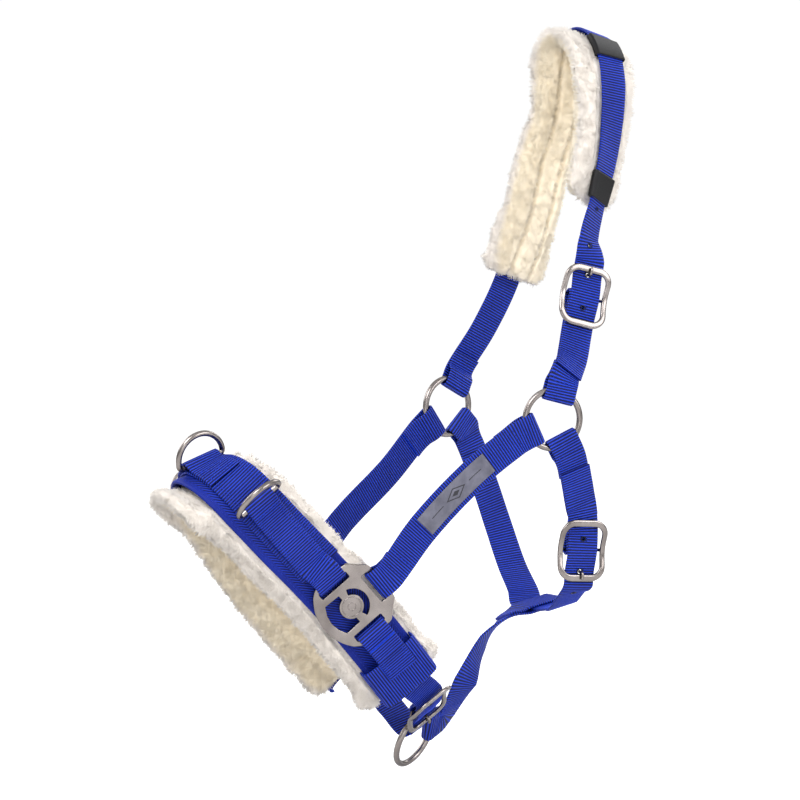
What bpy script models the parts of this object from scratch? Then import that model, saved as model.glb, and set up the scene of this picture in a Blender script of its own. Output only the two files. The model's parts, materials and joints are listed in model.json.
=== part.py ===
"""Padded head halter for a horse: wide fleece-lined noseband with three lunging rings, two steel
side plates, cheek straps, crown with fleece poll pad, throat strap and jaw strap.

Frame: origin on the underside of the poll pad, where the horse's poll carries the halter. +Z up,
the nose towards -Y, the horse's near (left) side at +X. Metres throughout; MM turns millimetres
into metres.
"""

import math

import bmesh
import bpy
from mathutils import Matrix, Vector

MM = 0.001
NEAR, OFF = 1, -1  # the horse's left and right side, as the sign of X

# Driving dimensions
WEB_WIDTH = 25 * MM  # halter webbing
WEB_THICK = 1.8 * MM
WEB_GAP = 0.35 * MM  # between plies, and round hardware
PLY = WEB_THICK + WEB_GAP

RING_RADIUS = 22.3 * MM  # cheek and chin rings, to the middle of the wire
RING_WIRE = 2.4 * MM  # wire radius
D_RING_RADIUS = 19.2 * MM  # lunging rings, round end
D_RING_LEG = 3 * MM  # straight leg between bar and round end
D_RING_WIRE = 2.25 * MM

BASE_WIDTH = 45 * MM  # stiff fabric of the noseband
BASE_SHIFT = 2.5 * MM  # its middle, towards the muzzle
BASE_THICK = 3 * MM
LINING_WIDTH = 77 * MM
LINING_SHIFT = 5.5 * MM
LINING_THICK = 13 * MM
LINING_CURL = 3 * MM  # how far the fleece edge turns outwards
NOSE_WEB_WIDTH = 36 * MM

PLATE_THICK = 3 * MM
# Each side plate: the noseband fabric under its middle, then its ways towards the cheek strap and
# towards the chin
PLATE_SEATS = {
    NEAR: ((46.4, -241.1, -411), (0.259, 0.715, 0.647), (0.02, 0.668, -0.743)),
    OFF: ((-51, -241, -411), (0.12, 0.74, 0.66), (-0.03, 0.665, -0.746)),
}
PLATE_BAR_INNER = 25.2 * MM  # from the plate's middle to the near edge of each strap bar
PLATE_BAR_WIDTH = 4.8 * MM
PLATE_LOOP = 4.1 * MM  # radius of a strap's middle round a plate bar
PLATE_LIFT = 5.8 * MM  # plate's middle above the noseband fabric

CHEEK_RING_CENTRE = Vector((79, -81, -275)) * MM
CHEEK_RING_YAW = math.radians(10)

BUCKLE_HALF_LENGTH = 24 * MM
BUCKLE_HALF_WIDTH = 20 * MM
BUCKLE_CORNER = 9 * MM
BUCKLE_SIDE = 4.2 * MM  # width of the side bars
BUCKLE_END = 5.4 * MM  # width of the end bars
BUCKLE_THICK = 2.8 * MM
BUCKLE_BAR = 2.2 * MM  # width of the middle bar
BUCKLE_RISE = 6.8 * MM  # end bars above the middle bar
BUCKLE_FLAT = 20 * MM  # beyond this distance the frame is flat
BAR_LOOP = 3.15 * MM  # radius of a strap's middle round a buckle's middle bar
BILLET_OVER_BAR = 5.6 * MM
BILLET_UNDER_END = 3.1 * MM
PRONG_WIRE = 1.1 * MM
PRONG_HOLE = 16.8 * MM  # from the middle bar to the hole in use
HOLE_RADIUS = 2.5 * MM

PAD_WIDTH = 60 * MM  # poll pad
PAD_THICK = 15 * MM
PAD_CURL = 5 * MM
KEEPER_LENGTH = 24 * MM
KEEPER_THICK = 1.4 * MM

WEB_BLUE = (0.012, 0.035, 0.42, 1)
FABRIC_BLUE = (0.012, 0.03, 0.36, 1)
FLEECE_CREAM = (0.83, 0.76, 0.63, 1)
STEEL_GREY = (0.62, 0.60, 0.57, 1)
LABEL_GREY = (0.42, 0.43, 0.48, 1)
KEEPER_BLACK = (0.02, 0.02, 0.022, 1)


# ---------------------------------------------------------------- scene and materials


def clear_scene():
    for obj in list(bpy.data.objects):
        bpy.data.objects.remove(obj)


def make_collection(name):
    collection = bpy.data.collections.new(name)
    bpy.context.scene.collection.children.link(collection)
    return collection


def material(name, colour, roughness, metallic=0.0):
    found = bpy.data.materials.get(name)
    if found:
        return found
    made = bpy.data.materials.new(name)
    made.use_nodes = True
    shader = made.node_tree.nodes["Principled BSDF"]
    shader.inputs["Base Color"].default_value = colour
    shader.inputs["Roughness"].default_value = roughness
    shader.inputs["Metallic"].default_value = metallic
    made.diffuse_color = colour
    return made


def webbing():
    return material("blue_webbing", WEB_BLUE, 0.55)


def band_fabric():
    return material("blue_fabric", FABRIC_BLUE, 0.7)


def fleece():
    return material("cream_fleece", FLEECE_CREAM, 0.95)


def steel():
    return material("satin_steel", STEEL_GREY, 0.3, 1.0)


def black_elastic():
    return material("black_elastic", KEEPER_BLACK, 0.6)


def label_grey():
    return material("grey_label", LABEL_GREY, 0.45)


def add_object(name, data, finish):
    obj = bpy.data.objects.new(name, data)
    PARTS.objects.link(obj)
    obj.data.materials.append(finish)
    return obj


def add_cutter(name, data, matrix):
    obj = bpy.data.objects.new(name, data)
    CUTTERS.objects.link(obj)
    obj.matrix_world = matrix
    obj.hide_render = True
    obj.display_type = "WIRE"
    return obj


def axes_matrix(origin, x_axis, y_axis, z_axis):
    rotation = Matrix((x_axis, y_axis, z_axis)).transposed().to_4x4()
    return Matrix.Translation(origin) @ rotation


def cut(obj, cutter, operation="DIFFERENCE"):
    boolean = obj.modifiers.new(cutter.name, "BOOLEAN")
    boolean.operation = operation
    boolean.object = cutter


def mirrored(vector, side):
    return Vector((vector[0] * side, vector[1], vector[2]))


# ---------------------------------------------------------------- bands


def smooth_run(stations, step):
    """Samples a smooth curve through (centre, normal) stations as (centre, across, normal) frames."""
    points = [Vector(s[0]) for s in stations]
    normals = [Vector(s[1]).normalized() for s in stations]
    knots = [0.0]
    for a, b in zip(points, points[1:]):
        knots.append(knots[-1] + (b - a).length)

    def slope(i):
        low, high = max(i - 1, 0), min(i + 1, len(points) - 1)
        return (points[high] - points[low]) / (knots[high] - knots[low])

    slopes = [slope(i) for i in range(len(points))]
    frames = []
    for i in range(len(points) - 1):
        span = knots[i + 1] - knots[i]
        count = max(1, round(span / step))
        last = i == len(points) - 2
        for k in range(count + (1 if last else 0)):
            t = k / count
            a, b = points[i], points[i + 1]
            ta, tb = slopes[i] * span, slopes[i + 1] * span
            centre = (
                a * (2 * t**3 - 3 * t**2 + 1)
                + ta * (t**3 - 2 * t**2 + t)
                + b * (3 * t**2 - 2 * t**3)
                + tb * (t**3 - t**2)
            )
            along = (
                a * (6 * t**2 - 6 * t)
                + ta * (3 * t**2 - 4 * t + 1)
                + b * (6 * t - 6 * t**2)
                + tb * (3 * t**2 - 2 * t)
            ).normalized()
            out = normals[i].lerp(normals[i + 1], t)
            across = along.cross(out).normalized()
            frames.append((centre, across, across.cross(along).normalized()))
    return frames


def return_ply(frames, radius, straight, tail):
    """The ply that turns round a bar under the first frame and lies back beneath the band."""
    centre, across, normal = frames[0]
    along = (frames[1][0] - centre).normalized()
    pivot = centre - normal * radius
    turn = []
    for degrees in (36, 72, 108, 144, 180):
        angle = math.radians(degrees)
        point = pivot + (normal * math.cos(angle) - along * math.sin(angle)) * radius
        turn.append((point, across, normal))
    back = []
    travelled, previous = 0.0, centre
    converge = 9 * MM
    for point, side, out in frames[1:]:
        travelled += (point - previous).length
        previous = point
        if travelled > tail:
            break
        share = min(max((travelled - straight) / converge, 0), 1)
        share = share * share * (3 - 2 * share)
        depth = 2 * radius * (1 - share) + PLY * share
        back.append((point - out * depth, side, out))
    return turn + back


def looped(frames, start=None, end=None):
    """Adds a folded ply at one or both ends. start and end are (loop radius, straight, tail)."""
    made = list(frames)
    if start:
        made = list(reversed(return_ply(frames, *start))) + made
    if end:
        backwards = list(reversed(frames))
        made = made + return_ply(backwards, *end)
    return made


def grid_mesh(name, rows, columns, place):
    """A grid primitive whose vertex (row, column) is put at place(row, column)."""
    mesh = bpy.data.meshes.new(name)
    bm = bmesh.new()
    bmesh.ops.create_grid(bm, x_segments=rows - 1, y_segments=columns - 1, size=0.5)
    for vertex in bm.verts:
        row = round((vertex.co.x + 0.5) * (rows - 1))
        column = round((vertex.co.y + 0.5) * (columns - 1))
        vertex.co = place(row, column)
    bm.to_mesh(mesh)
    bm.free()
    return mesh


def band(name, frames, width, thickness, finish, across=1, rise=None, lift=0.0):
    """A flat woven band: an open strip along the frames, made solid. rise(v) lifts it at v across."""

    def place(row, column):
        centre, side, normal = frames[row]
        v = (column / across - 0.5) * width
        height = lift + (rise(v) if rise else 0.0)
        return centre + side * v + normal * height

    mesh = grid_mesh(name, len(frames), across + 1, place)
    obj = add_object(name, mesh, finish)
    solid = obj.modifiers.new("thickness", "SOLIDIFY")
    solid.thickness = thickness
    solid.offset = 0
    solid.use_even_offset = True
    return obj


def punch(obj, centre, normal, number):
    """A round strap hole along the normal."""
    mesh = bpy.data.meshes.new(f"{obj.name}_punch")
    bm = bmesh.new()
    bmesh.ops.create_cone(
        bm, cap_ends=True, segments=12, radius1=HOLE_RADIUS, radius2=HOLE_RADIUS, depth=8 * WEB_THICK / 2
    )
    bm.to_mesh(mesh)
    bm.free()
    turn = Vector((0, 0, 1)).rotation_difference(normal).to_matrix().to_4x4()
    cut(obj, add_cutter(f"{obj.name}_hole_{number}", mesh, Matrix.Translation(centre) @ turn))


# ---------------------------------------------------------------- hardware


def curve_object(name, splines, finish, bevel=0.0, extrude=0.0, cyclic=True, sides=3):
    """A poly curve: a tube with bevel, or a filled flat outline with extrude."""
    data = bpy.data.curves.new(name, "CURVE")
    flat = extrude > 0
    data.dimensions = "2D" if flat else "3D"
    data.fill_mode = "BOTH" if flat else "FULL"
    data.bevel_depth = bevel
    data.bevel_resolution = sides
    data.extrude = extrude
    data.use_fill_caps = not cyclic
    for points in splines:
        spline = data.splines.new("POLY")
        spline.points.add(len(points) - 1)
        for target, point in zip(spline.points, points):
            target.co = (*Vector(point).to_3d(), 1)
        spline.use_cyclic_u = cyclic
    return add_object(name, data, finish)


def as_mesh(obj):
    """Replaces a curve object by its welded mesh, in the same place."""
    bpy.context.view_layer.update()
    graph = bpy.context.evaluated_depsgraph_get()
    mesh = bpy.data.meshes.new_from_object(obj.evaluated_get(graph))
    name, matrix = obj.name, obj.matrix_world.copy()
    finish = obj.data.materials[0]
    bpy.data.objects.remove(obj)
    bm = bmesh.new()
    bm.from_mesh(mesh)
    bmesh.ops.remove_doubles(bm, verts=bm.verts, dist=0.00001)
    bm.to_mesh(mesh)
    bm.free()
    mesh.materials.clear()
    made = add_object(name, mesh, finish)
    made.matrix_world = matrix
    return made


def ring(name, centre, axis):
    """A round ring of wire. Its origin is the ring's middle."""
    bpy.ops.mesh.primitive_torus_add(
        major_radius=RING_RADIUS, minor_radius=RING_WIRE, major_segments=32, minor_segments=10
    )
    obj = bpy.context.object
    obj.name = name
    obj.data.name = name
    for collection in obj.users_collection:
        collection.objects.unlink(obj)
    PARTS.objects.link(obj)
    obj.data.materials.append(steel())
    obj.data.shade_smooth()
    obj.matrix_world = Matrix.Translation(centre) @ (
        Vector((0, 0, 1)).rotation_difference(Vector(axis).normalized()).to_matrix().to_4x4()
    )
    return obj


def d_ring(name, bar_centre, bar_axis, rise_axis):
    """A D-shaped ring: a straight bar along bar_axis, where its origin is, and a round end."""
    corner = 3 * MM
    half_arc = [math.pi * k / 16 for k in range(17)]
    points = [
        (D_RING_RADIUS * math.cos(a), D_RING_LEG + D_RING_RADIUS * math.sin(a)) for a in half_arc
    ]
    for a in (0.0, 30.0, 60.0, 90.0):
        turn = math.radians(a)
        reach = -D_RING_RADIUS + corner * (1 - math.cos(turn))
        points.append((reach, corner * (1 - math.sin(turn))))
    for a in (90.0, 60.0, 30.0, 0.0):
        turn = math.radians(a)
        reach = D_RING_RADIUS - corner * (1 - math.cos(turn))
        points.append((reach, corner * (1 - math.sin(turn))))
    # the leg's foot and the arc's last point fall together
    kept = [p for i, p in enumerate(points) if (Vector(p) - Vector(points[i - 1])).length > 0.2 * MM]
    obj = curve_object(name, [[(x, y, 0) for x, y in kept]], steel(), bevel=D_RING_WIRE)
    x_axis = Vector(bar_axis).normalized()
    z_axis = x_axis.cross(Vector(rise_axis)).normalized()
    y_axis = z_axis.cross(x_axis)
    obj.matrix_world = axes_matrix(bar_centre, x_axis, y_axis, z_axis)
    return obj


def rounded_rectangle(low_x, high_x, low_y, high_y, radius, steps=5):
    corners = (
        (high_x - radius, high_y - radius, 0),
        (low_x + radius, high_y - radius, 90),
        (low_x + radius, low_y + radius, 180),
        (high_x - radius, low_y + radius, 270),
    )
    points = []
    for x, y, start in corners:
        for k in range(steps + 1):
            angle = math.radians(start + 90 * k / steps)
            points.append((x + radius * math.cos(angle), y + radius * math.sin(angle), 0))
    return points


class Buckle:
    """A dished buckle about its middle bar. prong_way points to the end the prong rests on."""

    def __init__(self, name, origin, prong_way, out):
        self.name = name
        self.origin = Vector(origin) * MM
        self.way = Vector(prong_way).normalized()
        self.across = self.way.cross(Vector(out)).normalized()
        self.out = self.across.cross(self.way).normalized()

    def at(self, way, out):
        return self.origin + self.way * way + self.out * out

    def billet_stations(self, lead=7 * MM):
        """Where a strap lies that comes in at the prong's end and goes over the bar."""
        end = BUCKLE_HALF_LENGTH - BUCKLE_END / 2
        heights = (
            (end + lead, BILLET_UNDER_END),
            (end - 4 * MM, BILLET_UNDER_END + 0.1 * MM),
            (0, BILLET_OVER_BAR),
            (-end + 4 * MM, BILLET_UNDER_END + 0.1 * MM),
            (-end - lead, BILLET_UNDER_END),
        )
        return [(self.at(x, z), self.out) for x, z in heights]

    def tab_stations(self):
        """Where the outer ply of the tab lies, from outside the frame to the middle bar."""
        places = ((-28 * MM, 0.2 * MM), (-17 * MM, 0.5 * MM), (0, BAR_LOOP))
        return [(self.at(x, z), self.out) for x, z in places]

    def matrix(self):
        return axes_matrix(self.origin, self.way, -self.across, self.out)

    def frame(self):
        inner_x = BUCKLE_HALF_LENGTH - BUCKLE_END
        inner_y = BUCKLE_HALF_WIDTH - BUCKLE_SIDE
        half_bar = BUCKLE_BAR / 2
        outer = rounded_rectangle(
            -BUCKLE_HALF_LENGTH, BUCKLE_HALF_LENGTH, -BUCKLE_HALF_WIDTH, BUCKLE_HALF_WIDTH, BUCKLE_CORNER
        )
        front = rounded_rectangle(half_bar, inner_x, -inner_y, inner_y, 1.2 * MM, 2)
        back = rounded_rectangle(-inner_x, -half_bar, -inner_y, inner_y, 1.2 * MM, 2)
        obj = as_mesh(
            curve_object(f"{self.name}_frame", [outer, front, back], steel(), extrude=14 * MM)
        )
        obj.matrix_world = self.matrix()

        columns = (-1.1, -0.95, -0.8, -0.62, -0.5, -0.38, -0.25, -0.12)
        reach = [BUCKLE_HALF_LENGTH * c for c in columns]
        reach = reach + [0] + [-x for x in reversed(reach)]

        def place(row, column):
            x = reach[row]
            share = min(abs(x) / BUCKLE_FLAT, 1)
            height = BUCKLE_RISE * (1 - math.cos(math.pi * share)) / 2
            return Vector((x, (column - 0.5) * 2.4 * BUCKLE_HALF_WIDTH, height))

        slab = add_cutter(
            f"{self.name}_dish", grid_mesh(f"{self.name}_dish", len(reach), 2, place), self.matrix()
        )
        solid = slab.modifiers.new("thickness", "SOLIDIFY")
        solid.thickness = BUCKLE_THICK
        solid.offset = 0
        solid.use_even_offset = True
        cut(obj, slab, "INTERSECT")
        return obj

    def prong(self):
        """A wire tongue: an eye round the middle bar, a shank and a tip over the end bar."""
        eye = 3.3 * MM
        points = []
        for degrees in range(300, 45, -28):
            angle = math.radians(degrees)
            points.append((eye * math.cos(angle), eye * math.sin(angle)))
        end_top = BUCKLE_RISE + BUCKLE_THICK / 2 + PRONG_WIRE + 0.35 * MM
        shank = (
            (5.5 * MM, 0.7 * MM),
            (9.5 * MM, 0.2 * MM),
            (14.2 * MM, 0.3 * MM),
            (15.9 * MM, 1.1 * MM),
            (PRONG_HOLE, 2.8 * MM),
            (PRONG_HOLE, 6.6 * MM),
            (PRONG_HOLE + 0.6 * MM, end_top - 0.6 * MM),
            (PRONG_HOLE + 2.1 * MM, end_top),
            (BUCKLE_HALF_LENGTH - 1.5 * MM, end_top),
        )
        points.extend(shank)
        obj = curve_object(
            f"{self.name}_prong",
            [[(x, 0, z) for x, z in points]],
            steel(),
            bevel=PRONG_WIRE,
            cyclic=False,
            sides=2,
        )
        obj.matrix_world = self.matrix()
        return obj

    def slot(self, strap):
        """Opens the strap's fold for the prong's eye."""
        mesh = bpy.data.meshes.new(f"{self.name}_slot")
        bm = bmesh.new()
        bmesh.ops.create_cube(bm, size=1)
        for vertex in bm.verts:
            vertex.co.x *= 13 * MM
            vertex.co.y *= 2 * PRONG_WIRE + 1.2 * MM
            vertex.co.z *= 15 * MM
        bm.to_mesh(mesh)
        bm.free()
        cut(strap, add_cutter(f"{self.name}_slot", mesh, self.matrix()))


# ---------------------------------------------------------------- side plates


class Plate:
    """One steel side plate. nose points to the bridge, cheek to the cheek ring, out off the head."""

    def __init__(self, side):
        self.side = side
        seat, cheek, chin = (Vector(v) for v in PLATE_SEATS[side])
        self.cheek = cheek.normalized()
        self.out = (chin.cross(cheek) * side).normalized()
        self.nose = self.out.cross(self.cheek).normalized() * side
        self.centre = seat * MM + self.out * PLATE_LIFT

    def bar(self, way):
        return self.centre + way * (PLATE_BAR_INNER + PLATE_BAR_WIDTH / 2)

    def strap_stations(self, way):
        """The two stations of a strap that leaves the bar on that side of the plate."""
        start = self.bar(way) + self.out * PLATE_LOOP
        return [(start, self.out), (start + way * 9 * MM, self.out)]

    def solid(self, name):
        outer = PLATE_BAR_INNER + PLATE_BAR_WIDTH
        horn, notch = 17 * MM, 23 * MM
        slot_in, slot_half = 19.6 * MM, 13.4 * MM
        half = [(outer, -13 * MM), (outer, horn), (notch, notch), (horn, outer)]
        arc = []
        arc_radius, arc_drop = 42 * MM, 27 * MM
        for degrees in (-52, -65, -78, -90):
            angle = math.radians(degrees)
            arc.append((arc_radius * math.cos(angle), arc_radius - arc_drop + arc_radius * math.sin(angle)))
        right = half + [(-x, y) for x, y in reversed(half)]
        outline = right + [(-x, y) for x, y in arc] + arc[-2::-1]
        slots = [
            rounded_rectangle(slot_in, PLATE_BAR_INNER, -slot_half, slot_half, 0.8 * MM, 1),
            rounded_rectangle(-PLATE_BAR_INNER, -slot_in, -slot_half, slot_half, 0.8 * MM, 1),
            rounded_rectangle(-slot_half, slot_half, slot_in, PLATE_BAR_INNER, 0.8 * MM, 1),
        ]
        disc, rim = 9.6 * MM, 14.2 * MM
        upper = [self.polar(rim, a) for a in range(20, 161, 14)]
        upper += [self.polar(disc, a) for a in range(160, 19, -20)]
        lower = [self.polar(disc, a) for a in range(194, 347, 19)]
        lower += [(13.5 * MM, -2.5 * MM), (14 * MM, -15.5 * MM), (7.5 * MM, -18.6 * MM), (0, -19.8 * MM)]
        lower += [(-7.5 * MM, -18.6 * MM), (-14 * MM, -15.5 * MM), (-13.5 * MM, -2.5 * MM)]
        splines = [[Vector(p).to_3d() for p in line] for line in [outline, *slots, upper, lower]]
        obj = curve_object(name, splines, steel(), extrude=PLATE_THICK / 2)
        # the outline is the same from behind, so its x may run towards the nose or the chin
        obj.matrix_world = axes_matrix(self.centre, self.cheek.cross(self.out), self.cheek, self.out)
        return obj

    @staticmethod
    def polar(radius, degrees):
        return (radius * math.cos(math.radians(degrees)), radius * math.sin(math.radians(degrees)))


# ---------------------------------------------------------------- cheek rings


class CheekRing:
    def __init__(self, side):
        self.side = side
        self.centre = mirrored(CHEEK_RING_CENTRE, side)
        self.out = Vector((side * math.cos(CHEEK_RING_YAW), -math.sin(CHEEK_RING_YAW), 0))
        self.back = Vector((side * math.sin(CHEEK_RING_YAW), math.cos(CHEEK_RING_YAW), 0))

    def strap_stations(self, degrees):
        """The first stations of a strap round the wire, leaving at that angle above straight back."""
        angle = math.radians(degrees)
        way = self.back * math.cos(angle) + Vector((0, 0, 1)) * math.sin(angle)
        start = self.centre + way * (RING_RADIUS - RING_SAG) + self.out * RING_LOOP
        return [(start, self.out), (start + way * 15 * MM, self.out)]


# How far a ring's wire bows away from a strap's straight fold, and the radius of that fold
RING_SAG = RING_RADIUS - math.sqrt(RING_RADIUS**2 - (WEB_WIDTH / 2) ** 2) + 0.9 * MM
RING_LOOP = RING_WIRE + WEB_GAP + WEB_THICK / 2
RING_FOLD = (RING_LOOP, RING_SAG + RING_WIRE + 2 * MM, 30 * MM)
PLATE_FOLD = (PLATE_LOOP, 4 * MM, 24 * MM)
BAR_FOLD = (BAR_LOOP, 3 * MM, 22 * MM)


def stations(*rows):
    """(x, y, z, nx, ny, nz) rows, in millimetres, as (centre, normal) pairs."""
    return [(Vector(r[:3]) * MM, Vector(r[3:])) for r in rows]


def mirror_stations(rows):
    return [(mirrored(p, -1), mirrored(n, -1)) for p, n in rows]


# ---------------------------------------------------------------- noseband

# Outer face of the noseband fabric from the bridge of the nose down the near side to the jaw
NOSE_PATH = stations(
    (0, -340, -307, 0, -0.34, 0.94),
    (17, -336.5, -310, 0.40, -0.42, 0.82),
    (30, -328, -319.5, 0.68, -0.48, 0.55),
    (37.5, -315.5, -334, 0.86, -0.46, 0.22),
    (42, -292.5, -358.5, 0.93, -0.33, 0),
    (45, -267, -384, 0.955, -0.25, -0.12),
    (46.4, -241.1, -411, 0.964, -0.205, -0.159),
    (46.6, -214, -441, 0.975, -0.17, -0.16),
    (44, -190, -468, 0.955, -0.12, -0.27),
    (42, -181, -478, 0.935, -0.08, -0.34),
)
OFF_NOSE_PATH = stations(
    (-17, -336.5, -310, -0.40, -0.42, 0.82),
    (-31, -328, -319.5, -0.70, -0.50, 0.50),
    (-40, -315.5, -334, -0.90, -0.42, 0.12),
    (-46, -292.5, -358.5, -0.98, -0.12, 0.04),
    (-49.7, -267, -384, -0.99, 0.02, 0.09),
    (-51, -241, -411, -0.991, 0.07, 0.10),
    (-51, -214, -441, -0.993, 0.08, 0),
    (-48, -192, -466, -0.97, 0.05, -0.22),
    (-46, -184, -475, -0.95, 0.03, -0.30),
)


def nose_run(first, last, step=4.5 * MM):
    """Frames on the noseband's outer face. Distances from the bridge, positive on the near side."""
    whole = list(reversed(OFF_NOSE_PATH)) + NOSE_PATH
    frames = smooth_run(whole, 2.5 * MM)
    middle = min(range(len(frames)), key=lambda i: abs(frames[i][0].x))
    lengths = [0.0]
    for a, b in zip(frames, frames[1:]):
        lengths.append(lengths[-1] + (b[0] - a[0]).length)
    places = [length - lengths[middle] for length in lengths]
    low, high = min(first, last), max(first, last)
    count = max(1, round((high - low) / step))
    picked = []
    for k in range(count + 1):
        wanted = low + (high - low) * k / count
        j = max(i for i in range(len(places)) if places[i] <= wanted or i == 0)
        j = min(j, len(frames) - 2)
        t = min(max((wanted - places[j]) / (places[j + 1] - places[j]), 0), 1)
        a, b = frames[j], frames[j + 1]
        picked.append(
            (a[0].lerp(b[0], t), a[1].lerp(b[1], t).normalized(), a[2].lerp(b[2], t).normalized())
        )
    return picked if first < last else list(reversed(picked))


def lifted(frames, height, shift=0.0):
    return [(p + n * height + w * shift, w, n) for p, w, n in frames]


def curl(half_flat, half_width, height):
    """Rise of a fleece edge: none over the flat middle, then a smooth outward turn."""

    def rise(v):
        share = max(abs(v) - half_flat, 0) / (half_width - half_flat)
        return height * share**2

    return rise


NOSE_END = {NEAR: 247 * MM, OFF: 241 * MM}  # along the noseband, from the bridge to the end of the fabric
RING_AT = 55 * MM  # side lunging rings, from the bridge
KEEPER_AT = 233 * MM  # middle of the wide keeper
KEEPER_WIDE = 36 * MM
KEEPER_LIFT = WEB_GAP + 2 * PLY + 1.3 * MM + WEB_THICK / 2  # its middle, above the fabric


def noseband():
    near, off = NOSE_END[NEAR], NOSE_END[OFF]
    fabric = lifted(nose_run(-off, near, 4 * MM), -BASE_THICK / 2, BASE_SHIFT)
    band("noseband_fabric", fabric, BASE_WIDTH, BASE_THICK, band_fabric())

    half = LINING_WIDTH / 2
    depth = BASE_THICK + 1.1 * MM + LINING_THICK / 2
    lining = lifted(nose_run(-off - 5 * MM, near + 8 * MM), -depth, LINING_SHIFT)
    rise = curl(BASE_WIDTH / 2 + 6 * MM, half, LINING_CURL)
    band("noseband_lining", lining, LINING_WIDTH, LINING_THICK, fleece(), across=6, rise=rise)

    webbing_run = lifted(nose_run(-126 * MM, 126 * MM, 4 * MM), WEB_GAP + 0.3 * MM + WEB_THICK / 2, -3 * MM)
    band("nose_webbing", webbing_run, NOSE_WEB_WIDTH, WEB_THICK, webbing())


def centre_ring():
    """The front lunging ring, held by a stitched patch that arches over its bar."""
    loop = D_RING_WIRE + WEB_GAP + WEB_THICK / 2
    over_web = WEB_GAP + PLY + 0.65 * MM
    bar_height = over_web + D_RING_WIRE
    flat = over_web + WEB_THICK / 2
    frames = nose_run(-25 * MM, 25 * MM, 2.5 * MM)
    middle = len(frames) // 2
    patch = []
    for i, (p, w, n) in enumerate(frames):
        share = min(abs(i - middle) * 2.5 * MM / (9 * MM), 1)
        height = flat + (bar_height + loop - flat) * (1 + math.cos(math.pi * share)) / 2
        patch.append((p + n * height, w, n))
    band("centre_ring_patch", patch, 30 * MM, WEB_THICK, webbing())
    p, w, n = frames[middle]
    lean = math.radians(15)
    rise = n * math.cos(lean) + Vector((1, 0, 0)) * math.sin(lean)
    return d_ring("centre_lunge_ring", p + n * bar_height, w, rise)


def side_ring_strap(side, plate):
    """The strap that carries a side lunging ring and runs down to the side plate."""
    word = "near" if side == NEAR else "off"
    loop = D_RING_WIRE + WEB_GAP + WEB_THICK / 2
    shift = -3.5 * MM
    over_web = WEB_GAP + PLY + WEB_THICK / 2 + 0.4 * MM
    bar_height = over_web + loop + 0.2 * MM
    frames = nose_run(side * RING_AT, side * 118 * MM, 5 * MM)
    run = []
    for i, (p, w, n) in enumerate(frames):
        share = min(i * 5 * MM / (20 * MM), 1)
        share = share * share * (3 - 2 * share)
        height = (bar_height + loop) * (1 - share) + (over_web + PLY + 0.3 * MM) * share
        aside = shift * (1 - i / len(frames))
        run.append((p + n * height + w * aside, n))
    to_plate = list(reversed(plate.strap_stations(plate.nose)))
    whole = smooth_run(run + to_plate, 5 * MM)
    made = looped(whole, (loop, 3 * MM, 20 * MM), PLATE_FOLD)
    band(f"{word}_nose_strap", made, WEB_WIDTH, WEB_THICK, webbing())

    p, w, n = whole[0]
    bar = p - n * loop
    towards_bridge = (frames[0][0] - frames[1][0]).normalized()
    lean = math.radians(31)
    rise = n * math.cos(lean) + towards_bridge * math.sin(lean)
    return d_ring(f"{word}_lunge_ring", bar, w, rise)


def wide_keeper(side):
    """A band of wide webbing sewn over the noseband's end, under which the chin straps run."""
    word = "near" if side == NEAR else "off"
    low, high = KEEPER_AT - KEEPER_WIDE / 2, KEEPER_AT + KEEPER_WIDE / 2
    rows = nose_run(side * low, side * high)
    half = BASE_WIDTH / 2 + WEB_GAP + WEB_THICK / 2
    top = KEEPER_LIFT
    profile = [(-half, -BASE_THICK + 0.4 * MM), (-half, top * 0.35), (-half * 0.93, top * 0.8)]
    profile += [(-half * 0.75, top), (0, top)]
    profile += [(-v, h) for v, h in reversed(profile[:-1])]

    def place(row, column):
        p, w, n = rows[row]
        v, height = profile[column]
        return p + w * (v + BASE_SHIFT) + n * height

    mesh = grid_mesh(f"{word}_chin_keeper", len(rows), len(profile), place)
    obj = add_object(f"{word}_chin_keeper", mesh, webbing())
    solid = obj.modifiers.new("thickness", "SOLIDIFY")
    solid.thickness = WEB_THICK
    solid.offset = 0


def rear_strap(side, plate):
    """The short strap from the plate's chin bar, sewn down on top of the wide keeper."""
    word = "near" if side == NEAR else "off"
    rows = plate.strap_stations(-plate.nose)
    height = KEEPER_LIFT + PLY
    for place in (KEEPER_AT - 13 * MM, KEEPER_AT - 2 * MM):
        p, w, n = nose_run(side * place, side * (place + 1 * MM), 1 * MM)[0 if side == NEAR else -1]
        rows.append((p + n * height, n))
    fold = (PLATE_LOOP, 4 * MM, 13 * MM)
    frames = looped(smooth_run(rows, 4.5 * MM), fold)
    band(f"{word}_rear_strap", frames, WEB_WIDTH, WEB_THICK, webbing())


# ---------------------------------------------------------------- chin

CHIN_BUCKLE = Buckle("chin_buckle", (20, -160, -495), (-0.80, 0.32, -0.50), (0.60, 0.43, -0.67))
CHIN_LOW = Vector((-9, -153, -521)) * MM  # lowest point of the chin strap, where the ring hangs
CHIN_RING_AXIS = Vector((0.80, 0.44, -0.40)).normalized()
BACKWARDS = Vector((0, 0.93, 0.36))
CHIN_RING_CHORD = (BACKWARDS - CHIN_RING_AXIS * BACKWARDS.dot(CHIN_RING_AXIS)).normalized()
CHIN_RING_UP = CHIN_RING_AXIS.cross(CHIN_RING_CHORD).normalized()
CHIN_RING_CENTRE = CHIN_LOW - CHIN_RING_UP * 9.8 * MM + CHIN_RING_CHORD * 1.6 * MM
JAW_LEAVES = math.radians(-3)  # the jaw strap's place on the chin ring


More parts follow.
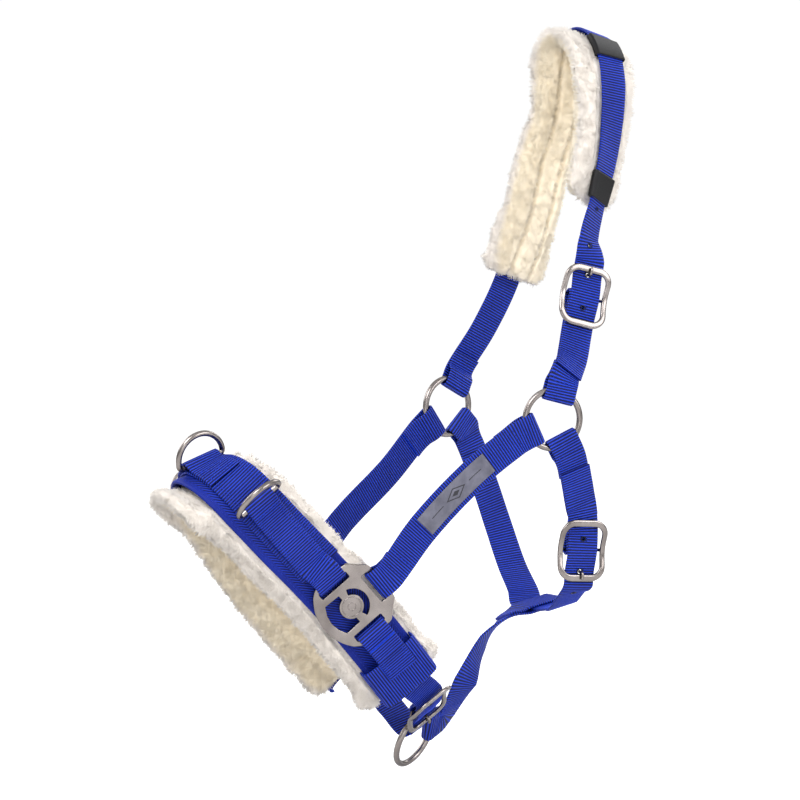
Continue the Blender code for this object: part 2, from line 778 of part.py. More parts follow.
def under_keeper(side, height, places):
    """Stations under the wide keeper, going from the plate towards the jaw."""
    rows = []
    for place in places:
        p, w, n = nose_run(side * place, side * (place + 1 * MM), 1 * MM)[0 if side == NEAR else -1]
        rows.append((p + n * height, n))
    return rows


def chin_tab():
    """From under the near keeper to the chin buckle's bar."""
    buckle = CHIN_BUCKLE
    low = KEEPER_AT - KEEPER_WIDE / 2
    rows = under_keeper(NEAR, WEB_GAP + WEB_THICK / 2, (low, low + 13 * MM, NOSE_END[NEAR] + 1 * MM))
    rows += buckle.tab_stations()[1:]
    frames = smooth_run(rows, 4.5 * MM)
    obj = band("chin_tab", looped(frames, None, BAR_FOLD), WEB_WIDTH, WEB_THICK, webbing())
    buckle.slot(obj)
    return frames


def chin_billet(tab):
    """From under the off keeper, through the chin ring and the buckle, and back over the tab."""
    buckle = CHIN_BUCKLE
    low = KEEPER_AT - KEEPER_WIDE / 2
    rows = under_keeper(OFF, WEB_GAP + WEB_THICK / 2, (low, low + 13 * MM, NOSE_END[OFF]))
    rows += stations((-37, -168, -493, -0.85, 0.0, -0.5), (-26, -160, -507, -0.6, 0.1, -0.8))
    rows.append((CHIN_LOW, Vector((-0.05, 0.24, -0.97))))
    rows += buckle.billet_stations(7 * MM)[:-1]
    rows += tail_over(tab, range(6, 14))
    frames = smooth_run(rows, 4.5 * MM)
    obj = band("chin_billet", frames, WEB_WIDTH, WEB_THICK, webbing())
    punch(obj, buckle.at(PRONG_HOLE, BILLET_UNDER_END + 0.3 * MM), buckle.out, 0)
    punch(obj, buckle.at(-8 * MM, BILLET_OVER_BAR - 0.7 * MM), buckle.out, 1)


JUNCTION = Vector((-6, -40, -428)) * MM  # where the jaw strap wraps the throat strap
JUNCTION_OUT = Vector((0, 0.2, -0.98)).normalized()
JUNCTION_BACK = Vector((0, 0.98, 0.2)).normalized()


def jaw_strap():
    """From the chin ring back to the throat strap. It twists a quarter turn on the way."""
    away = CHIN_RING_CHORD * math.cos(JAW_LEAVES) + CHIN_RING_UP * math.sin(JAW_LEAVES)
    start = CHIN_RING_CENTRE + away * (RING_RADIUS - RING_SAG) + CHIN_RING_AXIS * RING_LOOP
    rows = [(start, CHIN_RING_AXIS), (start + away * 17 * MM, CHIN_RING_AXIS)]
    rows += stations(
        (1.5, -112, -484, 0.88, 0.12, -0.34),
        (-2, -94, -455, 0.72, 0.32, -0.56),
        (-5, -73, -438, 0.28, 0.44, -0.83),
    )
    loop = WEB_THICK + WEB_GAP + 0.15 * MM
    front = JUNCTION - JUNCTION_BACK * 16 * MM + JUNCTION_OUT * loop
    rear = JUNCTION + JUNCTION_BACK * 14.5 * MM + JUNCTION_OUT * loop
    rows += [(front, JUNCTION_OUT), (rear, JUNCTION_OUT)]
    frames = smooth_run(rows, 5 * MM)
    made = looped(frames, (RING_FOLD[0], 20 * MM, 36 * MM), (loop, 30 * MM, 52 * MM))
    band("jaw_strap", made, WEB_WIDTH, WEB_THICK, webbing())


# ---------------------------------------------------------------- cheeks and throat


def cheek_strap(side, cheek_ring, plate, leave):
    word = "near" if side == NEAR else "off"
    if side == NEAR:
        middle = stations((70, -146, -315.5, 0.97, -0.20, 0.04), (64, -186, -354, 0.97, -0.24, 0.02))
    else:
        middle = stations((-70, -140, -324, -0.97, -0.20, 0.04), (-64, -183, -358, -0.97, -0.24, 0.02))
    rows = cheek_ring.strap_stations(leave) + middle + list(reversed(plate.strap_stations(plate.cheek)))
    frames = smooth_run(rows, 7 * MM)
    band(f"{word}_cheek_strap", looped(frames, RING_FOLD, PLATE_FOLD), WEB_WIDTH, WEB_THICK, webbing())
    return frames


def cheek_label(frames):
    """A soft grey label sewn on the near cheek strap."""
    middle = len(frames) // 2 - 1
    rows = lifted(frames[middle - 5 : middle + 6], WEB_THICK / 2 + 0.3 * MM + 0.5 * MM)
    band("cheek_label", rows, 17 * MM, 1.0 * MM, label_grey())


THROAT_BUCKLE = Buckle("throat_buckle", (72, -52, -377), (-0.08, -0.05, -0.995), (0.98, -0.12, -0.08))


def tail_over(tab, steps):
    """Stations of a strap's tail lying on the outer ply of a tab, counted from the tab's buckle end."""
    frames = list(reversed(tab))
    return [(frames[i][0] + frames[i][2] * (PLY + 0.6 * MM), frames[i][2]) for i in steps]


def throat_tab(cheek_ring):
    """The folded strap that hangs the throat buckle from the near cheek ring."""
    buckle = THROAT_BUCKLE
    rows = cheek_ring.strap_stations(295)
    rows += stations((80.5, -61, -322, 0.985, -0.13, 0.02), (76.3, -54, -343, 0.98, -0.12, -0.05))
    rows += buckle.tab_stations()
    frames = smooth_run(rows, 5 * MM)
    made = looped(frames, RING_FOLD, BAR_FOLD)
    obj = band("throat_tab", made, WEB_WIDTH, WEB_THICK, webbing())
    buckle.slot(obj)
    return frames


def throat_strap(off_ring, tab):
    """From the off cheek ring under the jaw to the near throat buckle, with its tail on the tab."""
    buckle = THROAT_BUCKLE
    rows = off_ring.strap_stations(313)
    rows += stations(
        (-78, -48, -335, -0.97, -0.05, -0.10),
        (-72, -38, -370, -0.93, 0.05, -0.35),
        (-57, -34, -402, -0.72, 0.12, -0.68),
        (-36, -36, -421, -0.35, 0.18, -0.92),
    )
    for x in (-20, -10, 10, 20):
        rows.append((JUNCTION + Vector((x, 0, 0)) * MM, JUNCTION_OUT))
    rows += stations(
        (30, -43.5, -425.5, 0.25, 0.18, -0.95),
        (44, -49, -423, 0.45, 0.14, -0.88),
        (62, -53, -412.5, 0.80, 0.02, -0.58),
    )
    rows += buckle.billet_stations(7 * MM)[:-1]
    rows += tail_over(tab, range(6, 14))
    frames = smooth_run(rows, 5 * MM)
    obj = band("throat_strap", looped(frames, RING_FOLD), WEB_WIDTH, WEB_THICK, webbing())
    punch(obj, buckle.at(PRONG_HOLE, BILLET_UNDER_END + 0.3 * MM), buckle.out, 0)
    punch(obj, buckle.at(-9 * MM, BILLET_OVER_BAR - 0.9 * MM), buckle.out, 1)
    for number, spot in enumerate(((66.5, -53.6, -407), (36, -47.6, -425.3)), start=2):
        centre = Vector(spot) * MM
        nearest = min(frames, key=lambda f: (f[0] - centre).length)
        punch(obj, nearest[0], nearest[2], number)


# ---------------------------------------------------------------- crown

CROWN_BUCKLE = Buckle("crown_buckle", (64, -45.5, -183), (-0.10, 0.26, 0.96), (0.985, -0.10, 0.12))

# Middle of the crown strap from the top of the poll down the near side
CROWN_PATH = stations(
    (0, 0, 21, 0, 0.30, 0.95),
    (20, -1, 16.5, 0.42, 0.27, 0.87),
    (36, -3, 3, 0.77, 0.22, 0.60),
    (45, -5, -18, 0.92, 0.18, 0.30),
    (50, -9, -46, 0.93, 0.28, 0.15),
    (54.5, -16.5, -78, 0.88, 0.42, 0.08),
    (57.5, -27, -110, 0.83, 0.54, 0.0),
    (61, -37, -138, 0.90, 0.40, 0.02),
)
OFF_CROWN_PATH = stations(
    (-19, -1, 15, -0.48, 0.27, 0.83),
    (-32, -2, -2, -0.82, 0.14, 0.53),
    (-41, -3, -26, -0.95, 0.02, 0.30),
    (-47.5, -5, -48, -0.98, -0.05, 0.20),
    (-55, -10, -72, -0.99, -0.07, 0.13),
    (-59, -17, -106, -0.99, -0.09, 0.12),
    (-63.5, -24, -139, -0.985, -0.10, 0.12),
    (-68, -32, -174, -0.985, -0.10, 0.12),
)
HOLE_PITCH = 25 * MM


def crown_strap(off_ring, tab):
    """From the off cheek ring over the poll to the near crown buckle, with its tail on the tab."""
    buckle = CROWN_BUCKLE
    rows = off_ring.strap_stations(63)
    rows += stations((-74, -50, -213, -0.985, -0.13, 0.10))
    rows += list(reversed(OFF_CROWN_PATH)) + CROWN_PATH
    rows += buckle.billet_stations(7 * MM)[:-1]
    rows += tail_over(tab, range(6, 13))
    frames = smooth_run(rows, 6 * MM)
    obj = band("crown_strap", looped(frames, RING_FOLD), WEB_WIDTH, WEB_THICK, webbing())
    punch(obj, buckle.at(PRONG_HOLE, BILLET_UNDER_END + 0.3 * MM), buckle.out, 0)
    punch(obj, buckle.at(-9 * MM, BILLET_OVER_BAR - 0.9 * MM), buckle.out, 1)
    start = buckle.at(PRONG_HOLE, BILLET_UNDER_END)
    near = [f for f in frames if f[0].x > 0]
    for number in (2, 3):
        wanted = (number - 1) * HOLE_PITCH
        centre, _, normal = min(
            (f for f in near if f[0].z > start.z), key=lambda f: abs((f[0] - start).length - wanted)
        )
        punch(obj, centre, normal, number)
    return frames


def crown_tab(cheek_ring):
    """The folded strap between the near cheek ring and the crown buckle."""
    buckle = CROWN_BUCKLE
    rows = cheek_ring.strap_stations(75)
    rows += stations((74.5, -61.5, -229, 0.985, -0.14, 0.08))
    rows += buckle.tab_stations()
    frames = smooth_run(rows, 5 * MM)
    fold = (RING_FOLD[0], RING_FOLD[1], 26 * MM)
    obj = band("crown_tab", looped(frames, fold, BAR_FOLD), WEB_WIDTH, WEB_THICK, webbing())
    buckle.slot(obj)
    return frames


def poll_pad():
    """The fleece pad under the crown strap, longer on the off side, with elastic keepers over the strap."""
    near_end, off_end = 166 * MM, 222 * MM
    path = stations((-74, -50, -213, -0.985, -0.13, 0.10))
    frames = smooth_run(path + list(reversed(OFF_CROWN_PATH)) + CROWN_PATH, 3 * MM)
    middle = min(range(len(frames)), key=lambda i: abs(frames[i][0].x))
    lengths = [0.0]
    for a, b in zip(frames, frames[1:]):
        lengths.append(lengths[-1] + (b[0] - a[0]).length)
    placed = [(length - lengths[middle], f) for length, f in zip(lengths, frames)]
    inside = [f for s, f in placed if -off_end <= s <= near_end]
    depth = WEB_THICK / 2 + KEEPER_THICK + 1.2 * MM + PAD_THICK / 2
    band(
        "poll_pad",
        lifted(inside[::3], -depth, 1.5 * MM),
        PAD_WIDTH,
        PAD_THICK,
        fleece(),
        across=6,
        rise=curl(WEB_WIDTH / 2 + 5 * MM, PAD_WIDTH / 2, PAD_CURL),
    )
    spots = {
        "near_upper_keeper": 33 * MM,
        "off_upper_keeper": -33 * MM,
        "near_lower_keeper": 149 * MM,
        "off_lower_keeper": -204 * MM,
    }
    for name, spot in spots.items():
        rows = [f for s, f in placed if abs(s - spot) <= KEEPER_LENGTH / 2]
        keeper(name, rows)


def keeper(name, rows):
    """A flat elastic sleeve round the crown strap."""
    half_v = WEB_WIDTH / 2 + 1.6 * MM
    half_h = WEB_THICK / 2 + 0.5 * MM + KEEPER_THICK / 2
    outline = rounded_rectangle(-half_v, half_v, -half_h, half_h, half_h * 0.8, 2)
    count = len(outline)

    def place(row, column):
        p, w, n = rows[row]
        v, height, _ = outline[column % count]
        return p + w * v + n * height

    mesh = grid_mesh(name, len(rows), count + 1, place)
    bm = bmesh.new()
    bm.from_mesh(mesh)
    bmesh.ops.remove_doubles(bm, verts=bm.verts, dist=0.00001)
    bmesh.ops.recalc_face_normals(bm, faces=bm.faces)
    bm.to_mesh(mesh)
    bm.free()
    obj = add_object(name, mesh, black_elastic())
    solid = obj.modifiers.new("thickness", "SOLIDIFY")
    solid.thickness = KEEPER_THICK
    solid.offset = 0


# ---------------------------------------------------------------- assembly


def build():
    noseband()
    centre_ring()
    plates = {}
    rings = {}
    for side, word in ((NEAR, "near"), (OFF, "off")):
        plate = plates[side] = Plate(side)
        rings[side] = CheekRing(side)
        plate.solid(f"{word}_side_plate")
        side_ring_strap(side, plate)
        wide_keeper(side)
        rear_strap(side, plate)
        ring(f"{word}_cheek_ring", rings[side].centre, rings[side].out)
    near_cheek = cheek_strap(NEAR, rings[NEAR], plates[NEAR], 205)
    cheek_strap(OFF, rings[OFF], plates[OFF], 217)
    cheek_label(near_cheek)

    chin_billet(chin_tab())
    ring("chin_ring", CHIN_RING_CENTRE, CHIN_RING_AXIS)
    jaw_strap()

    throat_strap(rings[OFF], throat_tab(rings[NEAR]))
    crown_strap(rings[OFF], crown_tab(rings[NEAR]))
    poll_pad()
    for buckle in (CHIN_BUCKLE, THROAT_BUCKLE, CROWN_BUCKLE):
        buckle.frame()
        buckle.prong()


clear_scene()
PARTS = make_collection("head_halter")
CUTTERS = make_collection("cutters")
build()
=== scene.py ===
import json
import math

import bmesh
import bpy
import numpy as np
from mathutils import Matrix, Vector, noise
from mathutils.bvhtree import BVHTree

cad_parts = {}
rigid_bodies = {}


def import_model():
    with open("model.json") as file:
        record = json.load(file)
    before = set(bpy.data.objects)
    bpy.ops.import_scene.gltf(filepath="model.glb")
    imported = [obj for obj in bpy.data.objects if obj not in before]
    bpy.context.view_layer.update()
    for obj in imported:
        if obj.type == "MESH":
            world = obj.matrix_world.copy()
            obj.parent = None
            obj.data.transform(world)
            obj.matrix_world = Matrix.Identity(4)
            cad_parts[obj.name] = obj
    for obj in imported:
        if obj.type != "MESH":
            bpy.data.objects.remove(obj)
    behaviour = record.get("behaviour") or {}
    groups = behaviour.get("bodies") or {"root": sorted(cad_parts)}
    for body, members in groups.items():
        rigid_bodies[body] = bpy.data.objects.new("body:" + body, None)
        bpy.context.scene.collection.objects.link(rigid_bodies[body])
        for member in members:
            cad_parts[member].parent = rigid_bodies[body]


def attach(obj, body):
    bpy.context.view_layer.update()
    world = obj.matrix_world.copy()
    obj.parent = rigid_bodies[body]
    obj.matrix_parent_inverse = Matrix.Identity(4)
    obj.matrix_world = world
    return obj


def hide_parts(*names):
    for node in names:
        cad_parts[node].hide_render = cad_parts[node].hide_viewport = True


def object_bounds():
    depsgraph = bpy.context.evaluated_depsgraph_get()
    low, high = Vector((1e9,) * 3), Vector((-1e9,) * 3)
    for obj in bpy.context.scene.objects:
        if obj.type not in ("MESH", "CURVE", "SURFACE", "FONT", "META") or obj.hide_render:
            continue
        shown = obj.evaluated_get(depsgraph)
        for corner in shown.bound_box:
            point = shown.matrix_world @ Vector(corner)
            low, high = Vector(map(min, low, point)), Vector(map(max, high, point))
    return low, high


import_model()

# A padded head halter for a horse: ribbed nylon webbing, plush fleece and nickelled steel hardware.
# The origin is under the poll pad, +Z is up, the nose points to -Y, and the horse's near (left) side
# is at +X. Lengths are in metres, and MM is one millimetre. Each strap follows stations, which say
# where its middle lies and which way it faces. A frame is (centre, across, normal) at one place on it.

cad_low, cad_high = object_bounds()

# ---------------------------------------------------------------- sizes and places

MM = 0.001
NEAR, OFF = 1, -1  # the horse's left and right side, as the sign of X
WORDS = {NEAR: "near", OFF: "off"}

# Driving dimensions
WEB_WIDTH = 25 * MM  # halter webbing
WEB_THICK = 1.8 * MM
WEB_GAP = 0.35 * MM  # between plies, and round hardware
PLY = WEB_THICK + WEB_GAP

RING_RADIUS = 22.3 * MM  # cheek and chin rings, to the middle of the wire
RING_WIRE = 2.4 * MM  # wire radius
D_RING_RADIUS = 19.2 * MM  # lunging rings, round end
D_RING_LEG = 3 * MM  # straight leg between bar and round end
D_RING_WIRE = 2.25 * MM

BASE_WIDTH = 45 * MM  # stiff fabric of the noseband
BASE_SHIFT = 2.5 * MM  # its middle, towards the muzzle
BASE_THICK = 3 * MM
LINING_WIDTH = 77 * MM
LINING_SHIFT = 5.5 * MM
LINING_THICK = 13 * MM
LINING_CURL = 3 * MM  # how far the fleece edge turns outwards
NOSE_WEB_WIDTH = 36 * MM

PLATE_THICK = 3 * MM
# Each side plate: the noseband fabric under its middle, then its ways towards the cheek strap and
# towards the chin
PLATE_SEATS = {
    NEAR: ((46.4, -241.1, -411), (0.259, 0.715, 0.647), (0.02, 0.668, -0.743)),
    OFF: ((-51, -241, -411), (0.12, 0.74, 0.66), (-0.03, 0.665, -0.746)),
}
PLATE_BAR_INNER = 25.2 * MM  # from the plate's middle to the near edge of each strap bar
PLATE_BAR_WIDTH = 4.8 * MM
PLATE_LOOP = 4.1 * MM  # radius of a strap's middle round a plate bar
PLATE_LIFT = 5.8 * MM  # plate's middle above the noseband fabric

CHEEK_RING_CENTRE = Vector((79, -81, -275)) * MM
CHEEK_RING_YAW = math.radians(10)

BUCKLE_HALF_LENGTH = 24 * MM
BUCKLE_HALF_WIDTH = 20 * MM
BUCKLE_CORNER = 9 * MM
BUCKLE_SIDE = 4.2 * MM  # width of the side bars
BUCKLE_END = 5.4 * MM  # width of the end bars
BUCKLE_THICK = 2.8 * MM
BUCKLE_BAR = 2.2 * MM  # width of the middle bar
BUCKLE_RISE = 6.8 * MM  # end bars above the middle bar
BUCKLE_FLAT = 20 * MM  # beyond this distance the frame is flat
BAR_LOOP = 3.15 * MM  # radius of a strap's middle round a buckle's middle bar
BILLET_OVER_BAR = 5.6 * MM
BILLET_UNDER_END = 3.1 * MM
PRONG_WIRE = 1.1 * MM
PRONG_HOLE = 16.8 * MM  # from the middle bar to the hole in use

PAD_WIDTH = 60 * MM  # poll pad
PAD_THICK = 15 * MM
PAD_CURL = 5 * MM
KEEPER_LENGTH = 24 * MM
KEEPER_THICK = 1.4 * MM

LABEL_LENGTH = 70 * MM


def axes_matrix(origin, x_axis, y_axis, z_axis):
    rotation = Matrix((x_axis, y_axis, z_axis)).transposed().to_4x4()
    return Matrix.Translation(origin) @ rotation


def eased(share):
    """A share from 0 to 1, with a gentle start and end."""
    return share * share * (3 - 2 * share)


def smooth_run(stations, step):
    """Samples a smooth curve through (centre, normal) stations as (centre, across, normal) frames."""
    points = [Vector(s[0]) for s in stations]
    normals = [Vector(s[1]).normalized() for s in stations]
    knots = [0.0]
    for a, b in zip(points, points[1:]):
        knots.append(knots[-1] + (b - a).length)

    def slope(i):
        low, high = max(i - 1, 0), min(i + 1, len(points) - 1)
        return (points[high] - points[low]) / (knots[high] - knots[low])

    slopes = [slope(i) for i in range(len(points))]
    frames = []
    for i in range(len(points) - 1):
        span = knots[i + 1] - knots[i]
        count = max(1, round(span / step))
        last = i == len(points) - 2
        for k in range(count + (1 if last else 0)):
            t = k / count
            a, b = points[i], points[i + 1]
            ta, tb = slopes[i] * span, slopes[i + 1] * span
            centre = (
                a * (2 * t**3 - 3 * t**2 + 1)
                + ta * (t**3 - 2 * t**2 + t)
                + b * (3 * t**2 - 2 * t**3)
                + tb * (t**3 - t**2)
            )
            along = (
                a * (6 * t**2 - 6 * t)
                + ta * (3 * t**2 - 4 * t + 1)
                + b * (6 * t - 6 * t**2)
                + tb * (3 * t**2 - 2 * t)
            ).normalized()
            out = normals[i].lerp(normals[i + 1], t)
            across = along.cross(out).normalized()
            frames.append((centre, across, across.cross(along).normalized()))
    return frames


def return_ply(frames, radius, straight, tail):
    """The ply that turns round a bar under the first frame and lies back beneath the band."""
    centre, across, normal = frames[0]
    along = (frames[1][0] - centre).normalized()
    pivot = centre - normal * radius
    turn = []
    for degrees in (36, 72, 108, 144, 180):
        angle = math.radians(degrees)
        point = pivot + (normal * math.cos(angle) - along * math.sin(angle)) * radius
        turn.append((point, across, normal))
    back = []
    travelled, previous = 0.0, centre
    converge = 9 * MM
    for point, side, out in frames[1:]:
        travelled += (point - previous).length
        previous = point
        if travelled > tail:
            break
        share = eased(min(max((travelled - straight) / converge, 0), 1))
        depth = 2 * radius * (1 - share) + PLY * share
        back.append((point - out * depth, side, out))
    return turn + back


def looped(frames, start=None, end=None):
    """Adds a folded ply at one or both ends. start and end are (loop radius, straight, tail)."""
    made = list(frames)
    if start:
        made = list(reversed(return_ply(frames, *start))) + made
    if end:
        backwards = list(reversed(frames))
        made = made + return_ply(backwards, *end)
    return made


def rounded_rectangle(low_x, high_x, low_y, high_y, radius, steps=5):
    corners = (
        (high_x - radius, high_y - radius, 0),
        (low_x + radius, high_y - radius, 90),
        (low_x + radius, low_y + radius, 180),
        (high_x - radius, low_y + radius, 270),
    )
    points = []
    for x, y, start in corners:
        for k in range(steps + 1):
            angle = math.radians(start + 90 * k / steps)
            points.append((x + radius * math.cos(angle), y + radius * math.sin(angle), 0))
    return points


class Buckle:
    """A dished buckle about its middle bar. prong_way points to the end the prong rests on."""

    def __init__(self, name, origin, prong_way, out):
        self.name = name
        self.origin = Vector(origin) * MM
        self.way = Vector(prong_way).normalized()
        self.across = self.way.cross(Vector(out)).normalized()
        self.out = self.across.cross(self.way).normalized()

    def at(self, way, out):
        return self.origin + self.way * way + self.out * out

    def billet_stations(self, lead=7 * MM):
        """Where a strap lies that comes in at the prong's end and goes over the bar."""
        end = BUCKLE_HALF_LENGTH - BUCKLE_END / 2
        heights = (
            (end + lead, BILLET_UNDER_END),
            (end - 4 * MM, BILLET_UNDER_END + 0.1 * MM),
            (0, BILLET_OVER_BAR),
            (-end + 4 * MM, BILLET_UNDER_END + 0.1 * MM),
            (-end - lead, BILLET_UNDER_END),
        )
        return [(self.at(x, z), self.out) for x, z in heights]

    def tab_stations(self):
        """Where the outer ply of the tab lies, from outside the frame to the middle bar."""
        places = ((-28 * MM, 0.2 * MM), (-17 * MM, 0.5 * MM), (0, BAR_LOOP))
        return [(self.at(x, z), self.out) for x, z in places]

    def holes(self, behind, depth):
        """The billet's hole round the prong, and the next one, that far behind the bar and below its top."""
        return [(self.at(PRONG_HOLE, BILLET_UNDER_END + 0.3 * MM), self.out),
                (self.at(-behind, BILLET_OVER_BAR - depth), self.out)]

    def matrix(self):
        return axes_matrix(self.origin, self.way, -self.across, self.out)

    def slot(self):
        """The opening that the prong's eye turns in, cut from a strap's fold."""
        return box_cutter(self.matrix(), 13 * MM, 2 * PRONG_WIRE + 1.2 * MM, 15 * MM)


class Plate:
    """One steel side plate. nose points to the bridge, cheek to the cheek ring, out off the head."""

    def __init__(self, side):
        seat, cheek, chin = (Vector(v) for v in PLATE_SEATS[side])
        self.cheek = cheek.normalized()
        self.out = (chin.cross(cheek) * side).normalized()
        self.nose = self.out.cross(self.cheek).normalized() * side
        self.centre = seat * MM + self.out * PLATE_LIFT

    def bar(self, way):
        return self.centre + way * (PLATE_BAR_INNER + PLATE_BAR_WIDTH / 2)

    def strap_stations(self, way):
        """The two stations of a strap that leaves the bar on that side of the plate."""
        start = self.bar(way) + self.out * PLATE_LOOP
        return [(start, self.out), (start + way * 9 * MM, self.out)]


class CheekRing:
    def __init__(self, side):
        self.centre = Vector((CHEEK_RING_CENTRE.x * side, *CHEEK_RING_CENTRE.yz))
        self.out = Vector((side * math.cos(CHEEK_RING_YAW), -math.sin(CHEEK_RING_YAW), 0))
        self.back = Vector((side * math.sin(CHEEK_RING_YAW), math.cos(CHEEK_RING_YAW), 0))

    def strap_stations(self, degrees):
        """The first stations of a strap round the wire, leaving at that angle above straight back."""
        angle = math.radians(degrees)
        way = self.back * math.cos(angle) + Vector((0, 0, 1)) * math.sin(angle)
        start = self.centre + way * (RING_RADIUS - RING_SAG) + self.out * RING_LOOP
        return [(start, self.out), (start + way * 15 * MM, self.out)]


# How far a ring's wire bows away from a strap's straight fold, and the radius of that fold
RING_SAG = RING_RADIUS - math.sqrt(RING_RADIUS**2 - (WEB_WIDTH / 2) ** 2) + 0.9 * MM
RING_LOOP = RING_WIRE + WEB_GAP + WEB_THICK / 2
RING_FOLD = (RING_LOOP, RING_SAG + RING_WIRE + 2 * MM, 30 * MM)
PLATE_FOLD = (PLATE_LOOP, 4 * MM, 24 * MM)
BAR_FOLD = (BAR_LOOP, 3 * MM, 22 * MM)


def stations(*rows):
    """(x, y, z, nx, ny, nz) rows, in millimetres, as (centre, normal) pairs."""
    return [(Vector(r[:3]) * MM, Vector(r[3:])) for r in rows]


# Outer face of the noseband fabric from the bridge of the nose down the near side to the jaw
NOSE_PATH = stations(
    (0, -340, -307, 0, -0.34, 0.94),
    (17, -336.5, -310, 0.40, -0.42, 0.82),
    (30, -328, -319.5, 0.68, -0.48, 0.55),
    (37.5, -315.5, -334, 0.86, -0.46, 0.22),
    (42, -292.5, -358.5, 0.93, -0.33, 0),
    (45, -267, -384, 0.955, -0.25, -0.12),
    (46.4, -241.1, -411, 0.964, -0.205, -0.159),
    (46.6, -214, -441, 0.975, -0.17, -0.16),
    (44, -190, -468, 0.955, -0.12, -0.27),
    (42, -181, -478, 0.935, -0.08, -0.34),
)
OFF_NOSE_PATH = stations(
    (-17, -336.5, -310, -0.40, -0.42, 0.82),
    (-31, -328, -319.5, -0.70, -0.50, 0.50),
    (-40, -315.5, -334, -0.90, -0.42, 0.12),
    (-46, -292.5, -358.5, -0.98, -0.12, 0.04),
    (-49.7, -267, -384, -0.99, 0.02, 0.09),
    (-51, -241, -411, -0.991, 0.07, 0.10),
    (-51, -214, -441, -0.993, 0.08, 0),
    (-48, -192, -466, -0.97, 0.05, -0.22),
    (-46, -184, -475, -0.95, 0.03, -0.30),
)


def from_middle(frames):
    """How far each frame lies along the run from the horse's middle plane."""
    middle = min(range(len(frames)), key=lambda i: abs(frames[i][0].x))
    lengths = [0.0]
    for a, b in zip(frames, frames[1:]):
        lengths.append(lengths[-1] + (b[0] - a[0]).length)
    return [length - lengths[middle] for length in lengths]


def nose_run(first, last, step=4.5 * MM):
    """Frames on the noseband's outer face. Distances from the bridge, positive on the near side."""
    frames = smooth_run(OFF_NOSE_PATH[::-1] + NOSE_PATH, 2.5 * MM)
    places = from_middle(frames)
    low, high = min(first, last), max(first, last)
    count = max(1, round((high - low) / step))
    picked = []
    for k in range(count + 1):
        wanted = low + (high - low) * k / count
        j = max(i for i in range(len(places)) if places[i] <= wanted or i == 0)
        j = min(j, len(frames) - 2)
        t = min(max((wanted - places[j]) / (places[j + 1] - places[j]), 0), 1)
        a, b = frames[j], frames[j + 1]
        picked.append(
            (a[0].lerp(b[0], t), a[1].lerp(b[1], t).normalized(), a[2].lerp(b[2], t).normalized())
        )
    return picked if first < last else list(reversed(picked))


def lifted(frames, height, shift=0.0):
    return [(p + n * height + w * shift, w, n) for p, w, n in frames]


def curl(half_flat, half_width, height):
    """Rise of a fleece edge: none over the flat middle, then a smooth outward turn."""

    def rise(v):
        share = max(abs(v) - half_flat, 0) / (half_width - half_flat)
        return height * share**2

    return rise


NOSE_END = {NEAR: 247 * MM, OFF: 241 * MM}  # along the noseband, from the bridge to the end of the fabric
RING_AT = 55 * MM  # side lunging rings, from the bridge
KEEPER_AT = 233 * MM  # middle of the wide keeper
KEEPER_WIDE = 36 * MM
KEEPER_LIFT = WEB_GAP + 2 * PLY + 1.3 * MM + WEB_THICK / 2  # its middle, above the fabric

CHIN_BUCKLE = Buckle("chin_buckle", (20, -160, -495), (-0.80, 0.32, -0.50), (0.60, 0.43, -0.67))
CHIN_LOW = Vector((-9, -153, -521)) * MM  # lowest point of the chin strap, where the ring hangs
CHIN_RING_AXIS = Vector((0.80, 0.44, -0.40)).normalized()
BACKWARDS = Vector((0, 0.93, 0.36))
CHIN_RING_CHORD = (BACKWARDS - CHIN_RING_AXIS * BACKWARDS.dot(CHIN_RING_AXIS)).normalized()
CHIN_RING_UP = CHIN_RING_AXIS.cross(CHIN_RING_CHORD).normalized()
CHIN_RING_CENTRE = CHIN_LOW - CHIN_RING_UP * 9.8 * MM + CHIN_RING_CHORD * 1.6 * MM
JAW_LEAVES = math.radians(-3)  # the jaw strap's place on the chin ring


def under_keeper(side, height, places):
    """Stations under the wide keeper, going from the plate towards the jaw."""
    rows = []
    for place in places:
        p, _, n = nose_run(side * place, side * (place + 1 * MM), 1 * MM)[0 if side == NEAR else -1]
        rows.append((p + n * height, n))
    return rows


JUNCTION = Vector((-6, -40, -428)) * MM  # where the jaw strap wraps the throat strap
JUNCTION_OUT = Vector((0, 0.2, -0.98)).normalized()
JUNCTION_BACK = Vector((0, 0.98, 0.2)).normalized()

THROAT_BUCKLE = Buckle("throat_buckle", (72, -52, -377), (-0.08, -0.05, -0.995), (0.98, -0.12, -0.08))


def tail_over(tab, steps):
    """Stations of a strap's tail lying on the outer ply of a tab, counted from the tab's buckle end."""
    frames = list(reversed(tab))
    return [(frames[i][0] + frames[i][2] * (PLY + 0.6 * MM), frames[i][2]) for i in steps]


CROWN_BUCKLE = Buckle("crown_buckle", (64, -45.5, -183), (-0.10, 0.26, 0.96), (0.985, -0.10, 0.12))

